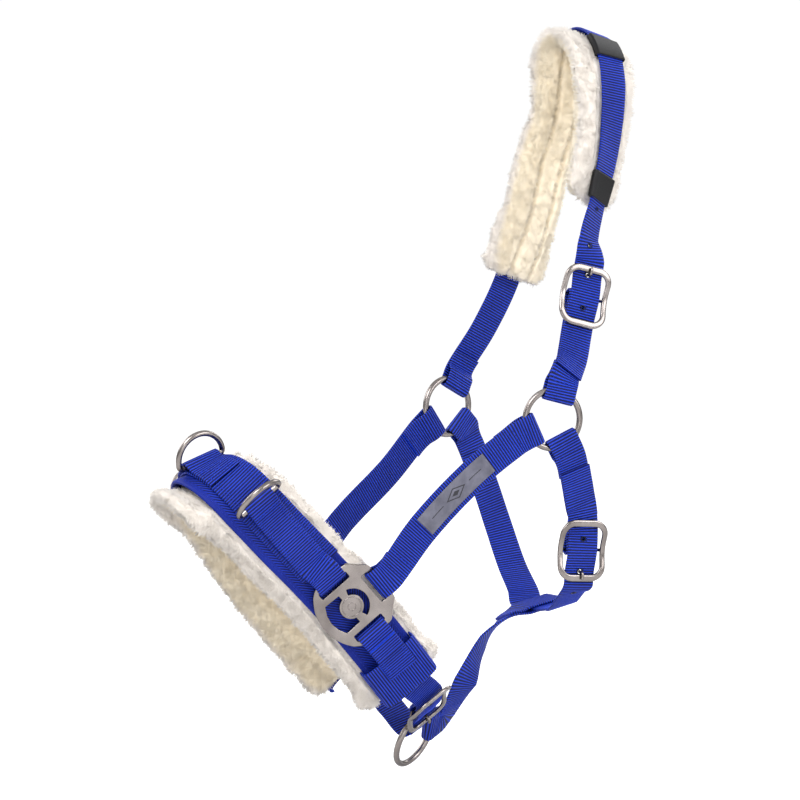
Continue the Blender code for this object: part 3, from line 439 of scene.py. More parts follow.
# Middle of the crown strap from the top of the poll down the near side
CROWN_PATH = stations(
    (0, 0, 21, 0, 0.30, 0.95),
    (20, -1, 16.5, 0.42, 0.27, 0.87),
    (36, -3, 3, 0.77, 0.22, 0.60),
    (45, -5, -18, 0.92, 0.18, 0.30),
    (50, -9, -46, 0.93, 0.28, 0.15),
    (54.5, -16.5, -78, 0.88, 0.42, 0.08),
    (57.5, -27, -110, 0.83, 0.54, 0.0),
    (61, -37, -138, 0.90, 0.40, 0.02),
)
OFF_CROWN_PATH = stations(
    (-19, -1, 15, -0.48, 0.27, 0.83),
    (-32, -2, -2, -0.82, 0.14, 0.53),
    (-41, -3, -26, -0.95, 0.02, 0.30),
    (-47.5, -5, -48, -0.98, -0.05, 0.20),
    (-55, -10, -72, -0.99, -0.07, 0.13),
    (-59, -17, -106, -0.99, -0.09, 0.12),
    (-63.5, -24, -139, -0.985, -0.10, 0.12),
    (-68, -32, -174, -0.985, -0.10, 0.12),
)
HOLE_PITCH = 25 * MM

MAIN = {}  # the outer ply of a strap: its frames, without the folds


# ---------------------------------------------------------------- node materials

RIB = 2.08 * MM  # pitch of the webbing's cross ribs
YARN = 0.95 * MM  # pitch of the yarns along it


class Nodes:
    """A short way to write a node tree."""

    def __init__(self, name):
        self.material = bpy.data.materials.new(name)
        self.material.use_nodes = True
        self.tree = self.material.node_tree
        self.shader = self.tree.nodes["Principled BSDF"]

    def new(self, kind, **settings):
        node = self.tree.nodes.new(kind)
        for key, value in settings.items():
            setattr(node, key, value)
        return node

    def link(self, output, target):
        self.tree.links.new(output, target)

    def math(self, operation, a, b=None, c=None):
        node = self.new("ShaderNodeMath", operation=operation)
        for socket, value in zip(node.inputs, (a, b, c)):
            if value is None:
                continue
            if isinstance(value, (int, float)):
                socket.default_value = value
            else:
                self.link(value, socket)
        return node.outputs[0]

    def weave(self, name="weave"):
        """(across, along, side) of the strap at the shaded point, in metres."""
        node = self.new("ShaderNodeAttribute", attribute_name=name)
        split = self.new("ShaderNodeSeparateXYZ")
        self.link(node.outputs["Vector"], split.inputs[0])
        return split.outputs

    def noise(self, scale, detail=2.0, roughness=0.5, stretch=None, distortion=0.0):
        place = self.new("ShaderNodeTexCoord").outputs["Object"]
        if stretch:
            mapping = self.new("ShaderNodeMapping")
            mapping.inputs["Scale"].default_value = stretch
            self.link(place, mapping.inputs[0])
            place = mapping.outputs[0]
        node = self.new("ShaderNodeTexNoise")
        node.inputs["Scale"].default_value = scale
        node.inputs["Detail"].default_value = detail
        node.inputs["Roughness"].default_value = roughness
        node.inputs["Distortion"].default_value = distortion
        self.link(place, node.inputs["Vector"])
        return node.outputs["Fac"]

    def ramp(self, value, *stops):
        node = self.new("ShaderNodeValToRGB")
        elements = node.color_ramp.elements
        while len(elements) < len(stops):
            elements.new(0.5)
        for element, (place, colour) in zip(elements, stops):
            element.position = place
            element.color = (*colour, 1)
        self.link(value, node.inputs[0])
        return node.outputs[0]

    def mix(self, share, a, b, blend="MIX"):
        node = self.new("ShaderNodeMix", data_type="RGBA", blend_type=blend)
        sockets = [node.inputs[0], node.inputs[6], node.inputs[7]]
        for socket, value in zip(sockets, (share, a, b)):
            if isinstance(value, tuple):
                socket.default_value = (*value, 1)
            elif isinstance(value, (int, float)):
                socket.default_value = value
            else:
                self.link(value, socket)
        return node.outputs[2]

    def bump(self, height, distance, strength=1.0, under=None):
        node = self.new("ShaderNodeBump")
        node.inputs["Strength"].default_value = strength
        node.inputs["Distance"].default_value = distance
        self.link(height, node.inputs["Height"])
        if under is not None:
            self.link(under, node.inputs["Normal"])
        return node.outputs[0]

    def finish(self, colour=None, roughness=None, normal=None, **constants):
        for socket, value in (("Base Color", colour), ("Roughness", roughness), ("Normal", normal)):
            if value is not None and not isinstance(value, (int, float)):
                self.link(value, self.shader.inputs[socket])
            elif value is not None:
                self.shader.inputs[socket].default_value = value
        for key, value in constants.items():
            self.shader.inputs[key.replace("_", " ")].default_value = value
        return self.material


def webbing_material(name, dark, mid, bright, rib=RIB, yarn=YARN, roughness=0.5):
    """Ribbed nylon webbing: round cross ribs with short yarns over them, painted shade in the valleys and a
    painted highlight on the crests.
    """
    n = Nodes(name)
    across, along, _ = n.weave()
    turns = n.math("DIVIDE", along, rib)
    crest = n.math("MULTIPLY_ADD", n.math("COSINE", n.math("MULTIPLY", turns, 2 * math.pi)), 0.5, 0.5)
    stagger = n.math("MULTIPLY", n.math("FLOOR", n.math("ADD", turns, 0.5)), math.pi)
    wave = n.math("COSINE", n.math("ADD", n.math("MULTIPLY", across, 2 * math.pi / yarn), stagger))
    yarns = n.math("MULTIPLY_ADD", wave, 0.5, 0.5)
    fine = n.noise(2600, 2, 0.6)
    height = n.math("MULTIPLY", crest, n.math("MULTIPLY_ADD", yarns, 0.25, 0.75))
    worn = n.noise(38, 3, 0.6)
    # tone: the ribs' height paints shade into the valleys and a highlight onto the crests, and worn adds
    # random tone
    tone = n.math("MULTIPLY_ADD", height, 0.92, n.math("MULTIPLY_ADD", worn, 0.3, -0.13))
    colour = n.ramp(tone, (0.10, dark), (0.45, mid), (0.92, bright))
    rough = n.math("MULTIPLY_ADD", fine, 0.16, roughness - 0.08)
    normal = n.bump(height, 0.3 * MM, 0.85, n.bump(fine, 0.05 * MM, 0.4))
    return n.finish(colour, rough, normal, Specular_IOR_Level=0.22)


def twill_material(name, dark, mid, bright):
    """The noseband's stiff woven base: fine slanting ribs, turning at the middle, with a plain border;
    painted shade between the ribs and a painted highlight on them.
    """
    n = Nodes(name)
    across, along, _ = n.weave()
    folded = n.math("ABSOLUTE", across)
    slant = n.math("ADD", n.math("MULTIPLY", along, 0.62), n.math("MULTIPLY", folded, 0.78))
    line = n.math("COSINE", n.math("MULTIPLY", slant, 2 * math.pi / (1.9 * MM)))
    cross = n.math("COSINE", n.math("MULTIPLY", along, 2 * math.pi / (0.8 * MM)))
    ridges = n.math("MULTIPLY_ADD", line, 0.45, n.math("MULTIPLY_ADD", cross, 0.06, 0.5))
    border = n.math("GREATER_THAN", folded, BASE_WIDTH / 2 - 5.5 * MM)
    plain = n.math("MULTIPLY_ADD", cross, 0.18, 0.55)
    height = n.math("ADD", n.math("MULTIPLY", plain, border),
                    n.math("MULTIPLY", ridges, n.math("SUBTRACT", 1.0, border)))
    # tone: the ribs' height paints shade between them and a highlight on them, and the noise adds random tone
    tone = n.math("MULTIPLY_ADD", height, 0.85, n.math("MULTIPLY_ADD", n.noise(45, 3, 0.6), 0.3, -0.10))
    colour = n.ramp(tone, (0.08, dark), (0.45, mid), (0.92, bright))
    soft = n.bump(n.noise(2200, 2, 0.6), 0.05 * MM, 0.4)
    return n.finish(colour, 0.5, n.bump(height, 0.35 * MM, 0.9, soft), Specular_IOR_Level=0.2)


def fleece_material(name, shade, pale, inner):
    """Cream plush: dense short fibres, with painted shade in patches and in the hollows of its lumps, warmer
    on the horse's side.
    """
    n = Nodes(name)
    shade_patches = n.noise(120, 4, 0.6, distortion=0.3)
    fibres = n.noise(2400, 3, 0.65, stretch=(1, 1, 0.5), distortion=0.3)
    lumps = n.noise(420, 3, 0.6, distortion=0.5)
    warm = n.new("ShaderNodeAttribute", attribute_name="warm").outputs["Fac"]
    # tone: painted shade, in random patches and where the lumps bump is low
    tone = n.math("MULTIPLY_ADD", lumps, 0.35, n.math("MULTIPLY", shade_patches, 0.65))
    pile = n.ramp(tone, (0.30, shade), (0.60, pale))
    colour = n.mix(warm, pile, n.mix(0.8, pile, inner))
    normal = n.bump(lumps, 0.25 * MM, 0.4, n.bump(fibres, 0.2 * MM, 0.5))
    return n.finish(colour, 0.95, normal, Sheen_Weight=0.3, Sheen_Roughness=0.6, Specular_IOR_Level=0.1)


def pile_material(name, root, pale, inner):
    """The fine tufts of the plush: creamy, with painted shade towards the root, warmer on the horse's side.
    """
    n = Nodes(name)
    tip = n.new("ShaderNodeAttribute", attribute_name="tip").outputs["Fac"]
    warm = n.new("ShaderNodeAttribute", attribute_name="warm").outputs["Fac"]
    patches = n.noise(160, 3, 0.6)
    # tone: random patches, plus painted shade that deepens the colour towards each tuft's root
    tone = n.math("MULTIPLY_ADD", patches, 0.5, n.math("MULTIPLY_ADD", tip, 0.3, 0.15))
    pile = n.ramp(tone, (0.25, root), (0.60, pale))
    colour = n.mix(warm, pile, n.mix(0.75, pile, inner))
    fibres = n.noise(3200, 2, 0.6, stretch=(1, 1, 0.5))
    return n.finish(colour, 0.9, n.bump(fibres, 0.1 * MM, 0.4), Sheen_Weight=0.3, Sheen_Roughness=0.5,
                    Specular_IOR_Level=0.1)


def steel_material(name, base, light, roughness=0.24):
    """Nickelled steel with a warm cast, finely brushed and handled, with a painted dark reflection towards
    its grazing edges.
    """
    n = Nodes(name)
    brushed = n.noise(1400, 2, 0.5, stretch=(1, 0.15, 0.15))
    handled = n.noise(40, 3, 0.55)
    facing = n.new("ShaderNodeLayerWeight").outputs["Facing"]
    # colour: the handled tone, darkened towards grazing edges into a painted dark reflection
    colour = n.mix(n.math("MULTIPLY", facing, 0.8), n.ramp(handled, (0.3, base), (0.7, light)), STEEL_PAINTED_EDGE_REFLECTION)
    rough = n.math("MULTIPLY_ADD", handled, 0.12, n.math("MULTIPLY_ADD", brushed, 0.05, roughness - 0.08))
    return n.finish(colour, rough, n.bump(brushed, 0.008 * MM, 0.3), Metallic=1.0)


def elastic_material(name):
    """Matte black elastic: fine lengthwise cords crossed by close ribs, with painted shade in the grooves and
    a faint painted highlight on top.
    """
    n = Nodes(name)
    across, along, _ = n.weave()
    cords = n.math("COSINE", n.math("MULTIPLY", across, 2 * math.pi / (1.1 * MM)))
    ribs = n.math("COSINE", n.math("MULTIPLY", along, 2 * math.pi / (0.7 * MM)))
    height = n.math("MULTIPLY_ADD", cords, 0.3, n.math("MULTIPLY_ADD", ribs, 0.2, 0.5))
    # tone: random tone plus the cords' and ribs' height, which paints shade into the grooves and a faint
    # highlight on top
    tone = n.math("MULTIPLY_ADD", n.noise(120, 3, 0.6), 0.4, n.math("MULTIPLY", height, 0.5))
    colour = n.ramp(tone, (0.1, (0.001, 0.001, 0.0013)), (0.9, (0.009, 0.009, 0.011)))
    return n.finish(colour, 0.5, n.bump(height, 0.12 * MM, 0.7), Specular_IOR_Level=0.25)


def label_material(name):
    """Satin grey label with a plain motif: two thin lines and a lozenge between them, on a ground with a
    painted satin sheen.
    """
    n = Nodes(name)
    across, along, _ = n.weave()
    middle = n.math("SUBTRACT", along, LABEL_LENGTH / 2)
    far = n.math("ABSOLUTE", middle)
    wide = n.math("ABSOLUTE", across)
    thin = n.math("LESS_THAN", wide, 0.33 * MM)
    lines = n.math("MULTIPLY", thin, n.math("MULTIPLY", n.math("GREATER_THAN", far, 14 * MM),
                                            n.math("LESS_THAN", far, 27 * MM)))
    lozenge = n.math("ADD", n.math("MULTIPLY", far, 0.45), wide)
    rim = n.math("MULTIPLY", n.math("LESS_THAN", lozenge, 4.6 * MM),
                 n.math("GREATER_THAN", lozenge, 3.7 * MM))
    core = n.math("LESS_THAN", lozenge, 1.8 * MM)
    mark = n.math("MINIMUM", n.math("ADD", lines, n.math("ADD", rim, core)), 1.0)
    satin = n.noise(500, 3, 0.6, stretch=(1, 0.3, 0.3))
    # ground: random tone plus the satin streaks, which paint a sheen into the colour
    ground = n.ramp(n.math("MULTIPLY_ADD", satin, 0.5, n.math("MULTIPLY", n.noise(60, 2), 0.5)),
                    (0.25, (0.06, 0.06, 0.085)), (0.75, (0.16, 0.16, 0.21)))
    colour = n.mix(mark, ground, (0.02, 0.02, 0.028))
    rough = n.math("MULTIPLY_ADD", satin, 0.2, 0.3)
    height = n.math("SUBTRACT", n.math("MULTIPLY", satin, 0.3), n.math("MULTIPLY", mark, 0.6))
    return n.finish(colour, rough, n.bump(height, 0.15 * MM, 0.7), Specular_IOR_Level=0.45)


# The first and last colours of each blue material are shaded and lit copies of its middle one: painted shade
# in the weave's valleys and a painted highlight on its crests, in the webbing, the twill and the thread.
BLUE_PAINTED_SHADE, BLUE_MID, BLUE_PAINTED_HIGHLIGHT = (0.0004, 0.002, 0.03), (0.002, 0.012, 0.22), (0.016, 0.06, 0.62)
WEBBING = webbing_material("ribbed_webbing", BLUE_PAINTED_SHADE, BLUE_MID, BLUE_PAINTED_HIGHLIGHT)
TWILL = twill_material("twill_base", BLUE_PAINTED_SHADE, (0.0018, 0.010, 0.20), (0.012, 0.045, 0.50))
THREAD = webbing_material("blue_thread", BLUE_MID, (0.005, 0.02, 0.34), (0.02, 0.07, 0.65),
                          rib=0.5 * MM, yarn=0.3 * MM)
# the first colour of the plush, and of its pile below, is a painted shade of the cream
FLEECE = fleece_material("cream_plush", (0.80, 0.73, 0.65), (0.88, 0.82, 0.75), (0.98, 0.86, 0.64))
PILE = pile_material("cream_pile", (0.83, 0.765, 0.69), (0.90, 0.84, 0.775), (0.99, 0.875, 0.66))
# the painted dark reflection that the steel takes on at its grazing edges
STEEL_PAINTED_EDGE_REFLECTION = (0.09, 0.08, 0.075)
STEEL = steel_material("nickelled_steel", (0.235, 0.208, 0.196), (0.42, 0.378, 0.36))
ELASTIC = elastic_material("black_elastic_weave")

# ---------------------------------------------------------------- meshes

def place_object(name, mesh, finish, body="halter", replaces=()):
    obj = bpy.data.objects.new(name, mesh)
    bpy.context.scene.collection.objects.link(obj)
    mesh.materials.clear()
    mesh.materials.append(finish)
    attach(obj, body)
    if replaces:
        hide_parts(*replaces)
    return obj


def note(mesh, name, values):
    """Stores a number or a vector on each point, for the materials to read."""
    values = np.asarray(values, np.float32)
    kind, field = ("FLOAT_VECTOR", "vector") if values.ndim == 2 else ("FLOAT", "value")
    mesh.attributes.new(name, kind, "POINT").data.foreach_set(field, values.ravel())


def smoothed(mesh):
    mesh.polygons.foreach_set("use_smooth", [True] * len(mesh.polygons))
    mesh.update()
    return mesh


def mesh_from(name, points, faces, weave=None):
    mesh = bpy.data.meshes.new(name)
    mesh.from_pydata([tuple(p) for p in points], [], faces)
    if weave is not None:
        note(mesh, "weave", weave)
    return smoothed(mesh)


def grid_faces(rows, cols, closed=False):
    """Quads over rows of points that each close on themselves. An open run is capped at both ends."""
    faces = []
    for i in range(rows if closed else rows - 1):
        ahead = (i + 1) % rows * cols
        for j in range(cols):
            k = (j + 1) % cols
            faces.append((i * cols + j, ahead + j, ahead + k, i * cols + k))
    if closed:
        return faces
    return faces + [tuple(range(cols)), tuple(range(rows * cols - 1, (rows - 1) * cols - 1, -1))]


def many_small(name, points, quads, triangles):
    """One mesh of many small bodies. points holds each body's corners, and the faces are one body's."""
    start = (np.arange(len(points)) * points.shape[1])[:, None, None]
    faces = []
    for corners in (quads, triangles):
        faces += (np.array(corners)[None] + start).reshape(-1, len(corners[0])).tolist()
    return mesh_from(name, points.reshape(-1, 3).tolist(), faces)


def circle(centre, a, b, radius, count):
    angles = np.linspace(0, 2 * math.pi, count, endpoint=False)
    return [centre + (a * math.cos(w) + b * math.sin(w)) * radius for w in angles]


def unit(rows):
    return rows / np.maximum(np.linalg.norm(rows, axis=-1, keepdims=True), 1e-12)


def resampled(frames, pitch):
    """The run through the frames at an even pitch: centres, sideways and outward directions, and lengths."""
    centre = np.array([f[0] for f in frames])
    side = np.array([f[1] for f in frames])
    gaps = np.linalg.norm(np.diff(centre, axis=0), axis=1)
    kept = np.r_[True, gaps > 0.05 * MM]
    centre, side = centre[kept], side[kept]
    knots = np.r_[0, np.cumsum(np.linalg.norm(np.diff(centre, axis=0), axis=1))]
    slopes = unit(np.gradient(centre, knots, axis=0))
    count = max(2, round(knots[-1] / pitch))
    wanted = np.linspace(0, knots[-1], count + 1)
    i = np.clip(np.searchsorted(knots, wanted, side="right") - 1, 0, len(knots) - 2)
    span = (knots[i + 1] - knots[i])[:, None]
    t = ((wanted - knots[i])[:, None]) / span
    a, b, ta, tb = centre[i], centre[i + 1], slopes[i] * span, slopes[i + 1] * span
    points = (a * (2 * t**3 - 3 * t**2 + 1) + ta * (t**3 - 2 * t**2 + t)
              + b * (3 * t**2 - 2 * t**3) + tb * (t**3 - t**2))
    along = unit(np.gradient(points, axis=0))
    across = side[i] * (1 - t) + side[i + 1] * t
    across = unit(across - along * (across * along).sum(1, keepdims=True))
    normal = np.cross(across, along)
    return points, across, normal, wanted


def section(width, thickness, columns, turn=5):
    """(across, height) round a flat woven band with rounded selvedges, as two arrays."""
    half, radius = width / 2, thickness / 2
    top = np.linspace(-(half - radius), half - radius, columns)
    angles = np.linspace(90, -90, turn + 2)[1:-1]
    right = [(half - radius + radius * math.cos(math.radians(a)), radius * math.sin(math.radians(a)))
             for a in angles]
    loop = [(v, radius) for v in top] + right
    loop += [(v, -radius) for v in top[::-1]] + [(-v, h) for v, h in right[::-1]]
    return np.array(loop).T


def strap_mesh(name, frames, width, thickness, rib=RIB, depth=0.24 * MM, columns=9, per_rib=4,
               surface=None):
    """A closed woven band with real cross ribs. surface(lengths, across) may bend it further."""
    points, across, normal, lengths = resampled(frames, rib / per_rib)
    v, h = section(width, thickness, columns)
    phase = np.cos(2 * math.pi * lengths / rib)
    flat = np.clip((width / 2 - np.abs(v)) / (1.6 * MM), 0, 1)
    height = h[None, :] + np.sign(h)[None, :] * depth * phase[:, None] * flat[None, :]
    sideways = v[None, :] + np.sign(v)[None, :] * (1 - flat)[None, :] * 0.08 * MM * phase[:, None]
    if surface:
        height = height + surface(lengths, v)
    grid = points[:, None] + across[:, None] * sideways[..., None] + normal[:, None] * height[..., None]
    rows, cols = grid.shape[:2]
    weave = np.zeros((rows, cols, 3))
    weave[..., 0], weave[..., 1], weave[..., 2] = v[None, :], lengths[:, None], np.sign(h)[None, :]
    mesh = mesh_from(name, grid.reshape(-1, 3), grid_faces(rows, cols), weave.reshape(-1, 3))
    for polygon in list(mesh.polygons)[-2:]:
        polygon.use_smooth = False
    return outward(mesh)


def outward(mesh, weld=0.0):
    """The mesh with its faces turned outwards, after points closer than weld are made one."""
    bm = bmesh.new()
    bm.from_mesh(mesh)
    if weld:
        bmesh.ops.remove_doubles(bm, verts=bm.verts, dist=weld)
    bmesh.ops.recalc_face_normals(bm, faces=bm.faces)
    bm.to_mesh(mesh)
    bm.free()
    return mesh


def helper(data, name="cutter"):
    obj = bpy.data.objects.new(name, data)
    bpy.context.scene.collection.objects.link(obj)
    return obj


def evaluated(obj):
    """The object's mesh with its modifiers applied."""
    bpy.context.view_layer.update()
    graph = bpy.context.evaluated_depsgraph_get()
    return bpy.data.meshes.new_from_object(obj.evaluated_get(graph), preserve_all_data_layers=True,
                                           depsgraph=graph)


def carved(mesh, cutters, operation="DIFFERENCE"):
    """The mesh with each cutter mesh taken away, or joined on."""
    obj = helper(mesh, "carved")
    others = [helper(c) for c in cutters]
    for other in others:
        boolean = obj.modifiers.new("cut", "BOOLEAN")
        boolean.operation, boolean.object, boolean.solver = operation, other, "EXACT"
    made = evaluated(obj)
    for o in [obj, *others]:
        bpy.data.objects.remove(o)
    return made


def cutter(matrix, create, **settings):
    mesh = bpy.data.meshes.new("cutter")
    bm = bmesh.new()
    create(bm, **settings)
    bmesh.ops.transform(bm, matrix=matrix, verts=bm.verts)
    bm.to_mesh(mesh)
    bm.free()
    return mesh


def hole_cutter(centre, normal, radius):
    turn = Vector((0, 0, 1)).rotation_difference(Vector(normal)).to_matrix().to_4x4()
    return cutter(Matrix.Translation(centre) @ turn, bmesh.ops.create_cone, cap_ends=True, segments=28,
                  radius1=radius, radius2=radius, depth=7 * MM)


def box_cutter(matrix, x, y, z):
    return cutter(matrix @ Matrix.Diagonal((x, y, z, 1)), bmesh.ops.create_cube, size=1)


STRAPS = {}  # each strap's frames, by its name
HOLES = []  # (centre, normal, radius) of each strap hole
PUNCH = 1.75 * MM
WORN_PUNCH = 2.3 * MM  # the hole a prong stands in, stretched by use


def strap(name, frames, width=WEB_WIDTH, thickness=WEB_THICK, holes=(), slots=(), finish=WEBBING,
          slot="blue_webbing", **shape):
    STRAPS[name] = frames
    mesh = strap_mesh(name, frames, width, thickness, **shape)
    punched = [(c, n, PUNCH if i else WORN_PUNCH) for i, (c, n) in enumerate(holes)]
    HOLES.extend(punched)
    cutters = [hole_cutter(*hole) for hole in punched] + list(slots)
    if cutters:
        mesh = carved(mesh, cutters)
        mesh.name = name
    return place_object(f"{name}_woven", mesh, finish, replaces=[name])



# ---------------------------------------------------------------- hardware


def tube_mesh(name, points, radius, cyclic=True, sides=16, taper=None):
    """A round wire along the points, with its section turned without twist."""
    p = np.array([tuple(q) for q in points], float)
    ends = np.roll(p, -1, 0) - np.roll(p, 1, 0) if cyclic else np.gradient(p, axis=0)
    along = unit(ends)
    side = np.cross(along[0], (0.31, 0.52, 0.79))
    frames = []
    for t in along:
        side = side - t * side.dot(t)
        side = side / np.linalg.norm(side)
        frames.append((side, np.cross(t, side)))
    if cyclic:  # spread the closing twist over the whole run
        last = frames[-1][0] - along[0] * frames[-1][0].dot(along[0])
        twist = math.atan2(last.dot(frames[0][1]), last.dot(frames[0][0]))
    else:
        twist = 0.0
    rows = []
    for i, (a, b) in enumerate(frames):
        turn = -twist * i / len(frames)
        size = radius * (taper(i / (len(frames) - 1)) if taper else 1.0)
        rows.append([p[i] + (a * math.cos(w + turn) + b * math.sin(w + turn)) * size
                     for w in np.linspace(0, 2 * math.pi, sides, endpoint=False)])
    return outward(mesh_from(name, np.array(rows).reshape(-1, 3), grid_faces(len(rows), sides, cyclic)))


def hardware(name, mesh, body=None):
    return place_object(f"{name}_steel", mesh, STEEL, body or name, [name])


def round_ring(name, centre, axis):
    """A welded wire ring."""
    axis = Vector(axis).normalized()
    a = axis.orthogonal().normalized()
    points = circle(Vector(centre), a, axis.cross(a), RING_RADIUS, 128)
    return hardware(name, tube_mesh(name, points, RING_WIRE, sides=20))


def d_ring(name, bar_centre, bar_axis, rise_axis):
    """A D-shaped ring: a straight bar along bar_axis and a round end towards rise_axis."""
    corner = 3 * MM
    outline = [(D_RING_RADIUS * math.cos(w), D_RING_LEG + D_RING_RADIUS * math.sin(w))
               for w in np.linspace(0, math.pi, 61)]
    for w in np.linspace(0, math.pi / 2, 9):
        outline.append((-D_RING_RADIUS + corner * (1 - math.cos(w)), corner * (1 - math.sin(w))))
    outline += [(x, 0) for x in np.linspace(-D_RING_RADIUS + 2 * corner, D_RING_RADIUS - 2 * corner, 9)]
    for w in np.linspace(math.pi / 2, 0, 9):
        outline.append((D_RING_RADIUS - corner * (1 - math.cos(w)), corner * (1 - math.sin(w))))
    kept = [q for i, q in enumerate(outline) if math.dist(q, outline[i - 1]) > 0.15 * MM]
    x_axis = Vector(bar_axis).normalized()
    z_axis = x_axis.cross(Vector(rise_axis)).normalized()
    y_axis = z_axis.cross(x_axis)
    points = [Vector(bar_centre) + x_axis * x + y_axis * y for x, y in kept]
    return hardware(name, tube_mesh(name, points, D_RING_WIRE, sides=18))


SIDE_DIP = 3.5 * MM  # how high a buckle's side bars stand above its middle bar there


def polar(radius, degrees):
    return radius * math.cos(math.radians(degrees)), radius * math.sin(math.radians(degrees))


def swept_frame(path, lateral, up, widths, thickness, power=3.2, sides=20):
    """A closed bar along the path. Its section is a rounded rectangle as wide as widths says."""
    rows = []
    for i, p in enumerate(path):
        ring = []
        for w in np.linspace(0, 2 * math.pi, sides, endpoint=False):
            c, s = math.cos(w), math.sin(w)
            x = math.copysign(abs(c) ** (2 / power), c) * widths[i] / 2
            z = math.copysign(abs(s) ** (2 / power), s) * thickness / 2
            ring.append(p + lateral[i] * x + up[i] * z)
        rows.append(ring)
    points = [q for ring in rows for q in ring]
    return outward(mesh_from("frame", points, grid_faces(len(rows), sides, closed=True)))


def dish(x):
    """How high the buckle's frame stands above its middle bar, at a distance x from that bar."""
    share = min(abs(x) / BUCKLE_FLAT, 1)
    return SIDE_DIP + (BUCKLE_RISE - SIDE_DIP) * (1 - math.cos(math.pi * share)) / 2


def buckle_frame(buckle):
    """The dished frame: wider end bars, narrower side bars, and the middle bar joined on."""
    half_x = BUCKLE_HALF_LENGTH - BUCKLE_END / 2
    half_y = BUCKLE_HALF_WIDTH - BUCKLE_SIDE / 2
    radius = BUCKLE_CORNER + 0.8 * MM
    outline = [Vector(p) for p in rounded_rectangle(-half_x, half_x, -half_y, half_y, radius, 9)]
    dense = []
    for a, b in zip(outline, outline[1:] + outline[:1]):
        steps = max(1, round((b - a).length / (1.2 * MM)))
        dense += [a.lerp(b, k / steps) for k in range(steps)]
    matrix = buckle.matrix()
    turn = matrix.to_3x3()
    path, lateral, up, widths = [], [], [], []
    for i, p in enumerate(dense):
        ahead, behind = dense[(i + 1) % len(dense)], dense[i - 1]
        rise = lambda q: Vector((q.x, q.y, dish(q.x)))
        along = (rise(ahead) - rise(behind)).normalized()
        out = Vector((along.y, -along.x, 0)).normalized()
        normal = out.cross(along).normalized()
        share = abs(along.y) / max(abs(along.x) + abs(along.y), 1e-9)
        path.append(matrix @ rise(p))
        lateral.append(turn @ out)
        up.append(turn @ normal)
        widths.append(BUCKLE_SIDE + (BUCKLE_END - BUCKLE_SIDE) * share)
    rim = swept_frame(path, lateral, up, widths, BUCKLE_THICK)
    reach = BUCKLE_HALF_WIDTH - BUCKLE_SIDE / 2
    rise = lambda y: SIDE_DIP * np.clip((abs(y) - WEB_WIDTH / 2 - 0.3 * MM) / (4 * MM), 0, 1) ** 1.5
    bar = tube_mesh("bar", [matrix @ Vector((0, y, rise(y))) for y in np.linspace(-reach, reach, 31)],
                    BUCKLE_BAR / 2 * 1.12, cyclic=False, sides=16)
    hardware(f"{buckle.name}_frame", carved(rim, [bar], "UNION"))


def buckle_prong(buckle):
    """A wire tongue: an eye round the middle bar, a shank under the strap and a tip over the end bar."""
    eye = 3.3 * MM
    corners = [polar(eye, d) for d in range(300, 45, -14)]
    end_top = BUCKLE_RISE + BUCKLE_THICK / 2 + PRONG_WIRE + 0.35 * MM
    corners += [
        (5.5 * MM, 0.7 * MM), (9.5 * MM, 0.2 * MM), (14.2 * MM, 0.3 * MM), (15.9 * MM, 1.1 * MM),
        (PRONG_HOLE, 2.8 * MM), (PRONG_HOLE, 6.6 * MM), (PRONG_HOLE + 0.6 * MM, end_top - 0.6 * MM),
        (PRONG_HOLE + 2.1 * MM, end_top), (BUCKLE_HALF_LENGTH - 1.5 * MM, end_top),
    ]
    frames = [(np.array((x, 0, z)), np.array((0, 1, 0))) for x, z in corners]
    points = resampled(frames, 0.5 * MM)[0]
    matrix = buckle.matrix()
    placed = [matrix @ Vector(tuple(p)) for p in points]
    rounded = lambda t: min(1.0, (1 - t) * 26 + 0.45) * min(1.0, t * 40 + 0.5)
    mesh = tube_mesh("prong", placed, PRONG_WIRE, cyclic=False, sides=12, taper=rounded)
    hardware(f"{buckle.name}_prong", mesh)


def plate_outline():
    """The side plate's outline and openings, in its own plane: x across, y towards the cheek strap."""
    outer = PLATE_BAR_INNER + PLATE_BAR_WIDTH
    horn, notch = 17 * MM, 23 * MM
    half = [(outer, -13 * MM), (outer, horn), (notch, notch), (horn, outer)]
    arc = [(42 * MM * math.cos(math.radians(d)), 15 * MM + 42 * MM * math.sin(math.radians(d)))
           for d in range(-52, -91, -3)]
    arc = arc if arc[-1][0] < 1e-6 else arc + [(0, -27 * MM)]
    right = half + [(-x, y) for x, y in reversed(half)]
    return right + [(-x, y) for x, y in arc] + arc[-2::-1]


def rounded_corners(line, radius, steps=5):
    """The closed 2D line with each corner rounded as far as its sides allow."""
    made = []
    count = len(line)
    for i in range(count):
        a, p, b = (Vector(line[(i + k) % count][:2]) for k in (-1, 0, 1))
        to_a, to_b = a - p, b - p
        cut = min(radius, to_a.length * 0.45, to_b.length * 0.45)
        start, end = p + to_a.normalized() * cut, p + to_b.normalized() * cut
        for k in range(steps + 1):
            t = k / steps
            made.append(start * (1 - t) ** 2 + p * (2 * t * (1 - t)) + end * t**2)
    return made


